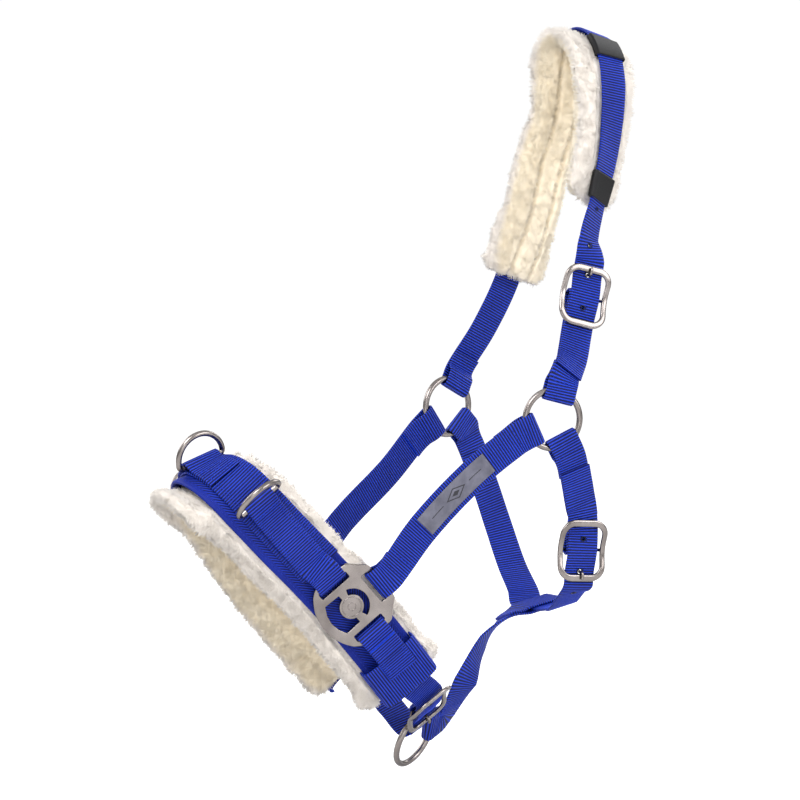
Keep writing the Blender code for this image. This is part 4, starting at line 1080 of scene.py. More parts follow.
def side_plate(name, plate):
    """A three-way plate with strap slots, a pierced middle and a plain raised ring and dot."""
    slot_in, slot_half = 19.6 * MM, 13.4 * MM
    slots = [
        rounded_rectangle(slot_in, PLATE_BAR_INNER, -slot_half, slot_half, 1.1 * MM, 4),
        rounded_rectangle(-PLATE_BAR_INNER, -slot_in, -slot_half, slot_half, 1.1 * MM, 4),
        rounded_rectangle(-slot_half, slot_half, slot_in, PLATE_BAR_INNER, 1.1 * MM, 4),
    ]
    disc, rim = 9.6 * MM, 14.2 * MM
    upper = [polar(rim, d) for d in range(20, 161, 5)] + [polar(disc, d) for d in range(160, 19, -5)]
    lower = [polar(disc, d) for d in range(194, 347, 5)]
    crescent = [(13.5 * MM, -2.5 * MM), (14 * MM, -15.5 * MM), (7.5 * MM, -18.6 * MM), (0, -19.8 * MM)]
    crescent += [(-x, y) for x, y in reversed(crescent[:-1])]
    lower += crescent
    data = bpy.data.curves.new(name, "CURVE")
    data.dimensions, data.fill_mode = "2D", "BOTH"
    edge = 0.45 * MM
    data.extrude, data.bevel_depth, data.bevel_resolution = PLATE_THICK / 2 - edge, edge, 3
    data.offset = -edge
    lines = [rounded_corners(plate_outline(), 2.6 * MM), *slots]
    lines += [rounded_corners(upper, 0.7 * MM, 3), rounded_corners(lower, 0.7 * MM, 3)]
    for line in lines:
        spline = data.splines.new("POLY")
        spline.points.add(len(line) - 1)
        for target, point in zip(spline.points, line):
            target.co = (point[0], point[1], 0, 1)
        spline.use_cyclic_u = True
    obj = helper(data, name)
    mesh = outward(evaluated(obj), 0.003 * MM)
    bpy.data.objects.remove(obj)
    a, b = plate.cheek, plate.cheek.cross(plate.out)
    mesh.transform(axes_matrix(plate.centre, b, a, plate.out))
    smoothed(mesh).set_sharp_from_angle(angle=math.radians(28))
    hardware(name, mesh, "halter")
    top = plate.centre + plate.out * (PLATE_THICK / 2)
    raised = tube_mesh("ring", circle(top, a, b, 7.6 * MM, 72), 0.42 * MM, sides=10)
    small = tube_mesh("ring", circle(top, a, b, 3.1 * MM, 48), 0.34 * MM, sides=10)
    place_object(f"{name}_boss", carved(raised, [small], "UNION"), STEEL)


def hole_rims():
    """The near-black rims round the straps' holes, on both faces of the webbing."""
    rims = []
    for centre, normal, radius in HOLES:
        way = Vector(normal).normalized()
        a = Vector(normal).orthogonal().normalized()
        ring = circle(centre, a, way.cross(a), radius, 28)
        for side in (-1, 1):
            lift = way * (side * (WEB_THICK / 2 - 0.1 * MM))
            rims.append(tube_mesh("rim", [p + lift for p in ring], 0.42 * MM, sides=8))
    joined = bmesh.new()
    for mesh in rims:
        joined.from_mesh(mesh)
    made = bpy.data.meshes.new("rims")
    joined.to_mesh(made)
    joined.free()
    n = Nodes("melted_nylon")
    rim_speckle = n.noise(1800, 3, 0.6)
    colour = n.ramp(rim_speckle, (0.3, (0.0006, 0.001, 0.006)), (0.7, (0.002, 0.004, 0.03)))
    finish = n.finish(colour, 0.35, n.bump(rim_speckle, 0.1 * MM, 0.5), Specular_IOR_Level=0.3)
    place_object("strap_hole_rims", smoothed(made), finish)


# ---------------------------------------------------------------- noseband and its straps


def nose_fabric():
    near, off = NOSE_END[NEAR], NOSE_END[OFF]
    fabric = lifted(nose_run(-off, near, 4 * MM), -BASE_THICK / 2, BASE_SHIFT)
    strap("noseband_fabric", fabric, BASE_WIDTH, BASE_THICK, finish=TWILL, slot="blue_fabric",
          rib=2.4 * MM, depth=0.0, columns=15, per_rib=2)
    run = lifted(nose_run(-126 * MM, 126 * MM, 4 * MM), WEB_GAP + 0.3 * MM + WEB_THICK / 2, -3 * MM)
    strap("nose_webbing", run, NOSE_WEB_WIDTH, columns=11)


def centre_ring():
    """The front lunging ring, held by a stitched patch that arches over its bar."""
    loop = D_RING_WIRE + WEB_GAP + WEB_THICK / 2
    over_web = WEB_GAP + PLY + 0.65 * MM
    bar_height = over_web + D_RING_WIRE
    flat = over_web + WEB_THICK / 2
    frames = nose_run(-25 * MM, 25 * MM, 2.5 * MM)
    middle = len(frames) // 2
    patch = []
    for i, (p, w, n) in enumerate(frames):
        share = min(abs(i - middle) * 2.5 * MM / (9 * MM), 1)
        height = flat + (bar_height + loop - flat) * (1 + math.cos(math.pi * share)) / 2
        patch.append((p + n * height, w, n))
    strap("centre_ring_patch", patch, 30 * MM)
    p, w, n = frames[middle]
    lean = math.radians(15)
    rise = n * math.cos(lean) + Vector((1, 0, 0)) * math.sin(lean)
    d_ring("centre_lunge_ring", p + n * bar_height, w, rise)


def side_ring_strap(side, plate):
    """The strap that carries a side lunging ring and runs down to the side plate."""
    word = WORDS[side]
    loop = D_RING_WIRE + WEB_GAP + WEB_THICK / 2
    shift = -3.5 * MM
    over_web = WEB_GAP + PLY + WEB_THICK / 2 + 0.4 * MM
    bar_height = over_web + loop + 0.2 * MM
    frames = nose_run(side * RING_AT, side * 118 * MM, 5 * MM)
    run = []
    for i, (p, w, n) in enumerate(frames):
        share = eased(min(i * 5 * MM / (20 * MM), 1))
        height = (bar_height + loop) * (1 - share) + (over_web + PLY + 0.3 * MM) * share
        aside = shift * (1 - i / len(frames))
        run.append((p + n * height + w * aside, n))
    whole = smooth_run(run + plate.strap_stations(plate.nose)[::-1], 5 * MM)
    strap(f"{word}_nose_strap", looped(whole, (loop, 3 * MM, 20 * MM), PLATE_FOLD))
    MAIN[f"{word}_nose_strap"] = whole
    p, w, n = whole[0]
    towards_bridge = (frames[0][0] - frames[1][0]).normalized()
    lean = math.radians(31)
    d_ring(f"{word}_lunge_ring", p - n * loop, w, n * math.cos(lean) + towards_bridge * math.sin(lean))


def wide_keeper(side):
    """A band of wide webbing sewn over the noseband's end, under which the chin straps run."""
    name = f"{WORDS[side]}_chin_keeper"
    rows = nose_run(side * (KEEPER_AT - KEEPER_WIDE / 2), side * (KEEPER_AT + KEEPER_WIDE / 2), 1.5 * MM)
    half = BASE_WIDTH / 2 + WEB_GAP + WEB_THICK / 2
    top = KEEPER_LIFT
    profile = [(-half, -BASE_THICK + 0.4 * MM), (-half, top * 0.35), (-half * 0.93, top * 0.8)]
    profile += [(-half * 0.75, top), (0, top)]
    profile += [(-v, h) for v, h in reversed(profile[:-1])]
    p, w, n = rows[len(rows) // 2]
    along_nose = (rows[-1][0] - rows[0][0]).normalized()
    path = [(np.array((0, v + BASE_SHIFT, h)), np.array((1.0, 0, 0))) for v, h in profile]
    local = resampled(path, RIB / 4)[0]
    frames = [(p + w * q[1] + n * q[2], along_nose) for q in local]
    # the webbing follows the noseband's own bend across its width
    bend = np.array(sorted(((r[0] - p).dot(along_nose), (r[0] - p).dot(n)) for r in rows))
    heights = local[:, 2]
    lifts = np.clip((heights - top * 0.2) / (top * 0.6), 0, 1)
    sag = lambda lengths, v: np.interp(v, bend[:, 0], bend[:, 1])[None, :] * np.interp(
        lengths, np.linspace(0, lengths[-1], len(lifts)), lifts)[:, None]
    strap(name, frames, KEEPER_WIDE, columns=13, surface=sag)


def rear_strap(side, plate):
    """The short strap from the plate's chin bar, sewn down on top of the wide keeper."""
    rows = plate.strap_stations(-plate.nose)
    for place in (KEEPER_AT - 13 * MM, KEEPER_AT - 2 * MM):
        rows += under_keeper(side, KEEPER_LIFT + PLY, [place])
    whole = smooth_run(rows, 4.5 * MM)
    MAIN[f"{WORDS[side]}_rear_strap"] = whole
    over_ply(f"{WORDS[side]}_rear_strap_ply", whole, 8.5 * MM, 21 * MM)
    strap(f"{WORDS[side]}_rear_strap", looped(whole, (PLATE_LOOP, 4 * MM, 13 * MM)))


def over_ply(name, frames, first, last):
    """A strap's short end, sewn down on top of its own outer ply."""
    points, across, normal, lengths = resampled(frames, 1 * MM)
    picked = (lengths >= first) & (lengths <= last)
    rows = [(p + n * PLY * 0.97, w, n) for p, w, n in zip(points[picked], across[picked], normal[picked])]
    mesh = strap_mesh(name, rows, WEB_WIDTH - 0.5 * MM, WEB_THICK)
    place_object(f"{name}_woven", mesh, WEBBING)


# ---------------------------------------------------------------- chin and jaw


def chin_tab():
    low = KEEPER_AT - KEEPER_WIDE / 2
    rows = under_keeper(NEAR, WEB_GAP + WEB_THICK / 2, (low, low + 13 * MM, NOSE_END[NEAR] + 1 * MM))
    rows += CHIN_BUCKLE.tab_stations()[1:]
    frames = smooth_run(rows, 4.5 * MM)
    strap("chin_tab", looped(frames, None, BAR_FOLD), slots=[CHIN_BUCKLE.slot()])
    return frames


def chin_billet(tab):
    """From the off keeper below the jaw, through the chin ring and the buckle, and back over the tab."""
    buckle = CHIN_BUCKLE
    low = KEEPER_AT - KEEPER_WIDE / 2
    rows = under_keeper(OFF, WEB_GAP + WEB_THICK / 2, (low, low + 13 * MM, NOSE_END[OFF]))
    rows += stations((-37, -168, -493, -0.85, 0.0, -0.5), (-26, -160, -507, -0.6, 0.1, -0.8))
    rows.append((CHIN_LOW, Vector((-0.05, 0.24, -0.97))))
    rows += buckle.billet_stations(7 * MM)[:-1] + tail_over(tab, range(6, 14))
    strap("chin_billet", smooth_run(rows, 4.5 * MM), holes=buckle.holes(8 * MM, 0.7 * MM))


def jaw_strap():
    """From the chin ring back to the throat strap. It twists a quarter turn on the way."""
    away = CHIN_RING_CHORD * math.cos(JAW_LEAVES) + CHIN_RING_UP * math.sin(JAW_LEAVES)
    start = CHIN_RING_CENTRE + away * (RING_RADIUS - RING_SAG) + CHIN_RING_AXIS * RING_LOOP
    rows = [(start, CHIN_RING_AXIS), (start + away * 17 * MM, CHIN_RING_AXIS)]
    rows += stations(
        (1.5, -112, -484, 0.88, 0.12, -0.34),
        (-2, -94, -455, 0.72, 0.32, -0.56),
        (-5, -73, -438, 0.28, 0.44, -0.83),
    )
    loop = WEB_THICK + WEB_GAP + 0.15 * MM
    for reach in (-16 * MM, 14.5 * MM):
        rows.append((JUNCTION + JUNCTION_BACK * reach + JUNCTION_OUT * loop, JUNCTION_OUT))
    frames = smooth_run(rows, 5 * MM)
    MAIN["jaw_strap"] = frames
    strap("jaw_strap", looped(frames, (RING_FOLD[0], 20 * MM, 36 * MM), (loop, 30 * MM, 52 * MM)))


# ---------------------------------------------------------------- cheeks, throat and crown


def cheek_strap(side, cheek_ring, plate, leave):
    if side == NEAR:
        middle = stations((70, -146, -315.5, 0.97, -0.20, 0.04), (64, -186, -354, 0.97, -0.24, 0.02))
    else:
        middle = stations((-70, -140, -324, -0.97, -0.20, 0.04), (-64, -183, -358, -0.97, -0.24, 0.02))
    rows = cheek_ring.strap_stations(leave) + middle + plate.strap_stations(plate.cheek)[::-1]
    frames = smooth_run(rows, 7 * MM)
    MAIN[f"{WORDS[side]}_cheek_strap"] = frames
    strap(f"{WORDS[side]}_cheek_strap", looped(frames, RING_FOLD, PLATE_FOLD))
    return frames


def cheek_label(frames):
    middle = len(frames) // 2 - 1
    rows = lifted(frames[middle - 5 : middle + 6], WEB_THICK / 2 + 0.3 * MM + 0.5 * MM)
    strap("cheek_label", rows, 17 * MM, 1.0 * MM, finish=label_material("grey_satin_label"),
          slot="grey_label", rib=2 * MM, depth=0.0, columns=9, per_rib=2)


def throat_tab(cheek_ring):
    rows = cheek_ring.strap_stations(295)
    rows += stations((80.5, -61, -322, 0.985, -0.13, 0.02), (76.3, -54, -343, 0.98, -0.12, -0.05))
    rows += THROAT_BUCKLE.tab_stations()
    frames = smooth_run(rows, 5 * MM)
    MAIN["throat_tab"] = frames
    strap("throat_tab", looped(frames, RING_FOLD, BAR_FOLD), slots=[THROAT_BUCKLE.slot()])
    return frames


def throat_strap(off_ring, tab):
    """From the off cheek ring under the jaw to the near throat buckle, with its tail on the tab."""
    buckle = THROAT_BUCKLE
    rows = off_ring.strap_stations(313)
    rows += stations(
        (-78, -48, -335, -0.97, -0.05, -0.10),
        (-72, -38, -370, -0.93, 0.05, -0.35),
        (-57, -34, -402, -0.72, 0.12, -0.68),
        (-36, -36, -421, -0.35, 0.18, -0.92),
    )
    for x in (-20, -10, 10, 20):
        rows.append((JUNCTION + Vector((x, 0, 0)) * MM, JUNCTION_OUT))
    rows += stations(
        (30, -43.5, -425.5, 0.25, 0.18, -0.95),
        (44, -49, -423, 0.45, 0.14, -0.88),
        (62, -53, -412.5, 0.80, 0.02, -0.58),
    )
    rows += buckle.billet_stations(7 * MM)[:-1] + tail_over(tab, range(6, 14))
    frames = smooth_run(rows, 5 * MM)
    MAIN["throat_strap"] = frames
    holes = buckle.holes(9 * MM, 0.9 * MM)
    for spot in ((66.5, -53.6, -407), (36, -47.6, -425.3)):
        centre = Vector(spot) * MM
        nearest = min(frames, key=lambda f: (f[0] - centre).length)
        holes.append((nearest[0], nearest[2]))
    strap("throat_strap", looped(frames, RING_FOLD), holes=holes)


def crown_strap(off_ring, tab):
    """From the off cheek ring over the poll to the near crown buckle, with its tail on the tab."""
    buckle = CROWN_BUCKLE
    rows = off_ring.strap_stations(63)
    rows += stations((-74, -50, -213, -0.985, -0.13, 0.10))
    rows += OFF_CROWN_PATH[::-1] + CROWN_PATH
    rows += buckle.billet_stations(7 * MM)[:-1] + tail_over(tab, range(6, 13))
    frames = smooth_run(rows, 6 * MM)
    MAIN["crown_strap"] = frames
    holes = buckle.holes(9 * MM, 0.9 * MM)
    start = buckle.at(PRONG_HOLE, BILLET_UNDER_END)
    above = [f for f in frames if f[0].x > 0 and f[0].z > start.z]
    for wanted in (HOLE_PITCH, 2 * HOLE_PITCH):
        centre, _, normal = min(above, key=lambda f: abs((f[0] - start).length - wanted))
        holes.append((centre, normal))
    strap("crown_strap", looped(frames, RING_FOLD), holes=holes)


def crown_tab(cheek_ring):
    rows = cheek_ring.strap_stations(75)
    rows += stations((74.5, -61.5, -229, 0.985, -0.14, 0.08))
    rows += CROWN_BUCKLE.tab_stations()
    frames = smooth_run(rows, 5 * MM)
    MAIN["crown_tab"] = frames
    fold = (RING_FOLD[0], RING_FOLD[1], 26 * MM)
    strap("crown_tab", looped(frames, fold, BAR_FOLD), slots=[CROWN_BUCKLE.slot()])
    return frames


def crown_run():
    """(distance from the top of the poll, frame) along the crown strap's middle."""
    path = stations((-74, -50, -213, -0.985, -0.13, 0.10))
    frames = smooth_run(path + OFF_CROWN_PATH[::-1] + CROWN_PATH, 3 * MM)
    return list(zip(from_middle(frames), frames))


def elastic_keeper(name, rows):
    """A flat elastic sleeve round the crown strap, thinner at its two ends."""
    half_v = WEB_WIDTH / 2 + 1.6 * MM
    half_h = WEB_THICK / 2 + 0.5 * MM + KEEPER_THICK / 2
    points, across, normal, lengths = resampled(rows, 0.6 * MM)
    outline = rounded_rectangle(-half_v, half_v, -half_h, half_h, half_h * 0.8, 6)
    outline = [p for i, p in enumerate(outline) if math.dist(p, outline[i - 1]) > 0.05 * MM]
    dense = []
    for a, b in zip(outline, outline[1:] + outline[:1]):
        steps = max(1, round(math.dist(a, b) / (0.55 * MM)))
        dense += [(a[0] + (b[0] - a[0]) * k / steps, a[1] + (b[1] - a[1]) * k / steps)
                  for k in range(steps)]
    loop = np.array(dense)
    ahead = np.roll(loop, -1, 0) - np.roll(loop, 1, 0)
    out = unit(np.stack([ahead[:, 1], -ahead[:, 0]], 1))
    if (out * loop).sum() < 0:
        out = -out
    around = np.r_[0, np.cumsum(np.linalg.norm(np.diff(loop, axis=0), axis=1))]
    rings, weave = [], []
    edge = np.minimum(lengths, lengths[-1] - lengths)
    thick = KEEPER_THICK / 2 * np.clip(0.35 + edge / (0.9 * MM), 0, 1)
    rib = 0.09 * MM * np.cos(2 * math.pi * around / (1.1 * MM))
    outside = range(len(lengths))
    for i in [*outside, *reversed(outside)]:
        sign = 1 if len(rings) < len(lengths) else -1
        offset = loop + out * (sign * thick[i] + (rib[:, None] if sign > 0 else 0))
        rings.append(points[i] + np.outer(offset[:, 0], across[i]) + np.outer(offset[:, 1], normal[i]))
        weave += [(a, lengths[i], sign) for a in around]
    grid = np.array(rings).reshape(-1, 3)
    mesh = outward(mesh_from(name, grid, grid_faces(len(rings), len(loop), closed=True), weave))
    place_object(f"{name}_woven", mesh, ELASTIC, replaces=[name])

# ---------------------------------------------------------------- sewing

STITCH, STITCH_PITCH, STITCH_RADIUS = 2.5 * MM, 3.5 * MM, 0.33 * MM
STITCH_LIFT = 0.12 * MM  # a stitch's middle above the webbing


class Seams:
    """Collects runs of stitches on straps and makes one piece of them."""

    def __init__(self):
        self.stitches = []  # (middle, along, out)

    def on(self, frames, lines, height=WEB_THICK / 2 + STITCH_LIFT):
        """Each line is (distance along, distance across) corners. A negative distance is from the far end."""
        points, across, normal, lengths = resampled(frames, 1 * MM)
        for line in lines:
            corners = np.array([(s if s >= 0 else lengths[-1] + s, v) for s, v in line], float)
            for a, b in zip(corners, corners[1:]):
                count = max(1, round(np.linalg.norm(b - a) / STITCH_PITCH))
                for k in range(count):
                    s, v = a + (b - a) * (k + 0.5) / count
                    i = min(int(s / lengths[-1] * (len(lengths) - 1)), len(lengths) - 2)
                    t = s / lengths[-1] * (len(lengths) - 1) - i
                    mix = lambda rows: rows[i] * (1 - t) + rows[i + 1] * t
                    n, w = unit(mix(normal)), unit(mix(across))
                    ahead = unit(points[i + 1] - points[i])
                    along = ahead * (b - a)[0] + w * (b - a)[1]
                    self.stitches.append((mix(points) + w * v + n * height, unit(along), n))

    def piece(self, name):
        sides, shape = 6, ((-0.42, 0.62), (-0.2, 1.0), (0.2, 1.0), (0.42, 0.62))
        middle, along, out = (np.array(rows) for rows in zip(*self.stitches))
        side = np.cross(along, out)
        rings = []
        for x, r in shape:
            sink = 0.22 * MM * (abs(x) > 0.3)
            for w in np.linspace(0, 2 * math.pi, sides, endpoint=False):
                rings.append(middle + along * x * STITCH - out * sink
                             + (side * math.cos(w) * 1.15 + out * math.sin(w)) * r * STITCH_RADIUS)
        rings.append(middle - along * STITCH / 2 - out * 0.3 * MM)
        rings.append(middle + along * STITCH / 2 - out * 0.3 * MM)
        points = np.stack(rings, 1)
        tips = [((j + 1) % sides, j, 4 * sides) for j in range(sides)]
        tips += [(3 * sides + j, 3 * sides + (j + 1) % sides, 4 * sides + 1) for j in range(sides)]
        mesh = many_small(name, points, grid_faces(4, sides)[:-2], tips)
        note(mesh, "weave", [(0, 0.4 * MM * (i // sides), 1) for i in range(4 * sides + 2)] * len(points))
        place_object(name, mesh, THREAD)


def box(s0, s1, half=9.5 * MM, cross=False):
    """A stitched rectangle between two places along the strap, with its diagonals if cross is true."""
    lines = [[(s0, -half), (s1, -half), (s1, half), (s0, half), (s0, -half)]]
    if cross:
        lines += [[(s0, -half), (s1, half)], [(s0, half), (s1, -half)]]
    return lines


def across_at(*places, half=9 * MM):
    """Lines across the strap, at distances along it in millimetres."""
    return [[(s * MM, -half), (s * MM, half)] for s in places]


def along_at(inset, *places):
    """Lines along the strap that stop short of its ends, at distances across it in millimetres."""
    return [[(inset, v * MM), (-inset, v * MM)] for v in places]


def sew():
    seams = Seams()
    for word in WORDS.values():
        seams.on(MAIN[f"{word}_cheek_strap"], across_at(16, 29, -14, -25))
        edges = [[(8 * MM, v * MM), (-6 * MM, v * MM)] for v in (-9.5, 9.5)]
        seams.on(MAIN[f"{word}_nose_strap"], edges + across_at(9, 12, -10))
        seams.on(MAIN[f"{word}_rear_strap"], box(9 * MM, -4 * MM))
    seams.on(STRAPS["nose_webbing"], along_at(4 * MM, -15, -12, 12, 15))
    seams.on(STRAPS["noseband_fabric"], along_at(3 * MM, -19, 19), height=BASE_THICK / 2 + STITCH_LIFT)
    patch = box(3 * MM, 14.5 * MM, 12 * MM, True) + box(-14.5 * MM, -3 * MM, 12 * MM, True)
    seams.on(STRAPS["centre_ring_patch"], patch)
    for name in ("throat_tab", "crown_tab"):
        seams.on(MAIN[name], box(11 * MM, -12 * MM))
    for name in ("throat_strap", "crown_strap"):
        seams.on(MAIN[name], across_at(11, 13.5))
    seams.on(MAIN["jaw_strap"], across_at(-46, -42, -38, -34, half=10 * MM) + box(15 * MM, 32 * MM))
    seams.piece("strap_stitches")


# ---------------------------------------------------------------- fleece


def local_place(points, frames):
    """Each point's place by the run: across it, above it and along it, and the run's own directions there."""
    centre, across, normal, lengths = resampled(frames, 2 * MM)
    picked = np.zeros(len(points), int)
    for start in range(0, len(points), 20000):
        part = points[start : start + 20000]
        away = ((part[:, None] - centre[None]) ** 2).sum(-1)
        picked[start : start + 20000] = away.argmin(1)
    offset = points - centre[picked]
    v = (offset * across[picked]).sum(1)
    h = (offset * normal[picked]).sum(1)
    return v, h, lengths[picked], across[picked], normal[picked]


BRIDGE_AT = NOSE_END[OFF] + 5 * MM  # along the lining, from its off end


def loft(name, frames, half_width, half_thick, rise, shift, depth, taper, lift=lambda v, s: 0.0):
    """A closed rounded bolster under the run, drawn in at both ends."""
    points, across, normal, lengths = resampled(frames, 3 * MM)
    sides = 36
    rows = []
    for i, s in enumerate(lengths):
        end = min(s, lengths[-1] - s) / taper
        full = math.sqrt(max(1 - (1 - min(end, 1)) ** 2, 0.06))
        ring = []
        for w in np.linspace(0, 2 * math.pi, sides, endpoint=False):
            c, q = math.cos(w), math.sin(w)
            v = math.copysign(abs(c) ** 0.75, c) * half_width * (0.75 + 0.25 * full) + shift
            h = math.copysign(abs(q) ** 0.75, q) * half_thick * full
            ring.append(points[i] + across[i] * v + normal[i] * (h - depth + rise(v - shift) + lift(v, s)))
        rows.append(ring)
    return outward(mesh_from(name, np.array(rows).reshape(-1, 3), grid_faces(len(rows), sides)))


def read(items, name, kind=np.float32, width=3):
    """A vector of every item, or a number where width is 1."""
    flat = np.empty(len(items) * width, kind)
    items.foreach_get(name, flat)
    return flat.reshape(-1, width) if width > 1 else flat


def coordinates(mesh):
    return read(mesh.vertices, "co", np.float64)


def apply_modifiers(obj):
    made = evaluated(obj)
    obj.modifiers.clear()
    obj.data = made


def swollen(obj, cap):
    """Remeshes the bolster evenly and lets pressure fill it, each point moving no further than cap."""
    remesh = obj.modifiers.new("even", "REMESH")
    remesh.mode, remesh.voxel_size = "VOXEL", 4.5 * MM
    apply_modifiers(obj)
    before = coordinates(obj.data)
    cloth = obj.modifiers.new("fill", "CLOTH")
    cloth.settings.use_pressure = True
    cloth.settings.uniform_pressure_force = 4
    cloth.settings.quality = 5
    cloth.settings.effector_weights.gravity = 0
    cloth.collision_settings.use_collision = False
    scene = bpy.context.scene
    scene.frame_start, scene.frame_end = 1, 20
    cloth.point_cache.frame_start, cloth.point_cache.frame_end = 1, 20
    for number in range(1, 21):
        scene.frame_set(number)
    apply_modifiers(obj)
    moved = coordinates(obj.data) - before
    length = np.linalg.norm(moved, axis=1, keepdims=True)
    moved *= np.minimum(1, cap / np.maximum(length, 1e-9))
    obj.data.vertices.foreach_set("co", (before + moved).ravel())
    scene.frame_set(1)


def plush(obj, frames, limit, inner_depth, channels, shift, seed):
    """Subdivides the filled pad, roughens it, sews its channels and keeps it below what lies on it."""
    subdivision = obj.modifiers.new("smooth", "SUBSURF")
    subdivision.levels = subdivision.render_levels = 2
    apply_modifiers(obj)
    mesh = obj.data
    points = coordinates(mesh)
    v, _, _, _, normal = local_place(points, frames)
    normals = read(mesh.vertices, "normal")
    inner = np.clip(0.5 - (normals * normal).sum(1), 0, 1)
    lumps = np.array([noise.noise(Vector(p) * 95 + Vector((seed, 0, 0))) for p in points])
    fine = np.array([noise.noise(Vector(p) * 330 + Vector((0, seed, 0))) for p in points])
    points += normals * ((lumps * 1.1 + fine * 0.45) * MM)[:, None]
    for place in channels:
        groove = np.exp(-(((v - shift - place) / (1.7 * MM)) ** 2)) * inner
        points += normal * (groove * 3.2 * MM)[:, None]
    v, h, s, _, normal = local_place(points, frames)
    points -= normal * np.maximum(h - limit(v, s), 0)[:, None]
    mesh.vertices.foreach_set("co", points.ravel())
    note(mesh, "warm", np.clip((-h - inner_depth) / (4 * MM), 0, 1))
    smoothed(mesh)


def surface_samples(mesh, count, rng, wanted):
    """Places on the mesh, spread by area times wanted(centres): their points, normals and warmth."""
    mesh.calc_loop_triangles()
    corners = read(mesh.loop_triangles, "vertices", np.int32)
    points = coordinates(mesh)
    a, b, c = points[corners[:, 0]], points[corners[:, 1]], points[corners[:, 2]]
    area = np.linalg.norm(np.cross(b - a, c - a), axis=1)
    heap = np.cumsum(area * wanted((a + b + c) / 3))
    picks = np.searchsorted(heap, (np.arange(count) + rng.random(count)) / count * heap[-1])
    picks = np.minimum(picks, len(corners) - 1)
    r, t = rng.random(count), rng.random(count)
    flip = r + t > 1
    r[flip], t[flip] = 1 - r[flip], 1 - t[flip]
    spots = a[picks] + (b - a)[picks] * r[:, None] + (c - a)[picks] * t[:, None]
    smooth = read(mesh.vertices, "normal")
    up = unit(smooth[corners[picks, 0]] + smooth[corners[picks, 1]] + smooth[corners[picks, 2]])
    warm = read(mesh.attributes["warm"].data, "value", width=1)
    return spots, up, warm[corners[picks, 0]]


TUFTS = 12200  # in each piece of pile
TUFT_LENGTH = 2.9 * MM
TUFT_RADIUS = 0.26 * MM


def pile(name, pad, count, seed, wanted, lay, obstacles):
    """Curved, tapered tufts growing from the pad. Neighbours lean together, and none enters an obstacle."""
    rng = np.random.default_rng(seed)
    roots, up, warm = surface_samples(pad.data, count, rng, wanted)
    swirl = np.array([tuple(noise.noise_vector(Vector(p) * 150 + Vector((seed, 5, 9)))) for p in roots])
    curl_way = np.array([tuple(noise.noise_vector(Vector(p) * 420 + Vector((3, seed, 1)))) for p in roots])
    loose = rng.normal(size=roots.shape) * 0.2
    way = unit(up * 0.55 + lay(roots) + swirl * 1.1 + loose)
    way = unit(way + up * np.maximum(0.22 - (way * up).sum(1, keepdims=True), 0) * 1.4)
    bend = unit(curl_way + up * 0.25 + rng.normal(size=roots.shape) * 0.3)
    size = TUFT_LENGTH * (0.65 + 0.7 * rng.random(count))[:, None]
    base = roots - up * 0.4 * MM
    spine = [base]
    for t in (0.36, 0.72, 1.0):
        spine.append(base + way * size * t + bend * size * 0.42 * t * t)
    spine = np.stack(spine, 1)
    kept = np.ones(count, bool)
    for i in range(count):
        for p in (spine[i, 3], spine[i, 2], spine[i, 1]):
            spot, normal, _, far = obstacles.find_nearest(Vector(p), 6 * MM)
            if spot is not None and (far < 0.5 * MM or (Vector(p) - spot).dot(normal) < 0):
                kept[i] = False
                break
    spine, warm, size = spine[kept], warm[kept], size[kept]
    count = len(spine)
    along = unit(spine[:, 3] - spine[:, 0])
    side = unit(np.cross(along, rng.normal(size=(count, 3))))
    other = np.cross(along, side)
    turns = np.array([0, 2 * math.pi / 3, 4 * math.pi / 3])
    around = side[:, None] * np.cos(turns)[None, :, None] + other[:, None] * np.sin(turns)[None, :, None]
    thick = TUFT_RADIUS * (0.7 + 0.6 * rng.random(count))[:, None, None]
    rings = [spine[:, k, None] + around * thick * w for k, w in ((0, 0.8), (1, 1.0), (2, 0.72))]
    points = np.concatenate([*rings, spine[:, 3:4]], 1)
    local = []
    for a in (0, 3):
        local += [(a + j, a + (j + 1) % 3, a + 3 + (j + 1) % 3, a + 3 + j) for j in range(3)]
    tips = [(6 + j, 6 + (j + 1) % 3, 9) for j in range(3)] + [(2, 1, 0)]
    mesh = many_small(name, points, local, tips)
    # tip runs from 0 at a tuft's root to 1 at its tip; the pile material paints shade towards the root with
    # it
    note(mesh, "tip", np.tile([0, 0, 0, 0.4, 0.4, 0.4, 0.8, 0.8, 0.8, 1], count))
    note(mesh, "warm", np.repeat(warm, 10))
    # a tuft is shaded mostly as the pad below it is, so that the plush looks soft
    sideways = np.concatenate([*[around] * 3, along[:, None]], 1)
    soft = unit(up[kept][:, None] + sideways * 0.4)
    mesh.normals_split_custom_set_from_vertices(soft.reshape(-1, 3).tolist())
    return place_object(name, mesh, PILE)


def bridge_lift(v, s):
    """How far the fleece curls up past the noseband's muzzle edge at the bridge of the nose."""
    along = np.exp(-(((s - BRIDGE_AT) / (34 * MM)) ** 2))
    aside = np.clip((v - BASE_SHIFT - 21 * MM) / (16 * MM), 0, 1)
    return 6.5 * MM * along * eased(aside)


def lining_limit(v, s):
    """The highest the noseband's fleece may stand: under the fabric, then free beyond its edges."""
    beyond = np.clip((np.abs(v - BASE_SHIFT) - 25.2 * MM) / (4 * MM), 0, 1)
    return -BASE_THICK - 0.3 * MM + beyond * 5.0 * MM + bridge_lift(v, s)


def pad_limit(v, s):
    beyond = np.clip((np.abs(v) - 15.5 * MM) / (4 * MM), 0, 1)
    return -3.1 * MM + beyond * 4.0 * MM


SWIRL_SEED = 7  # noise_vector starts from the clock without a seed


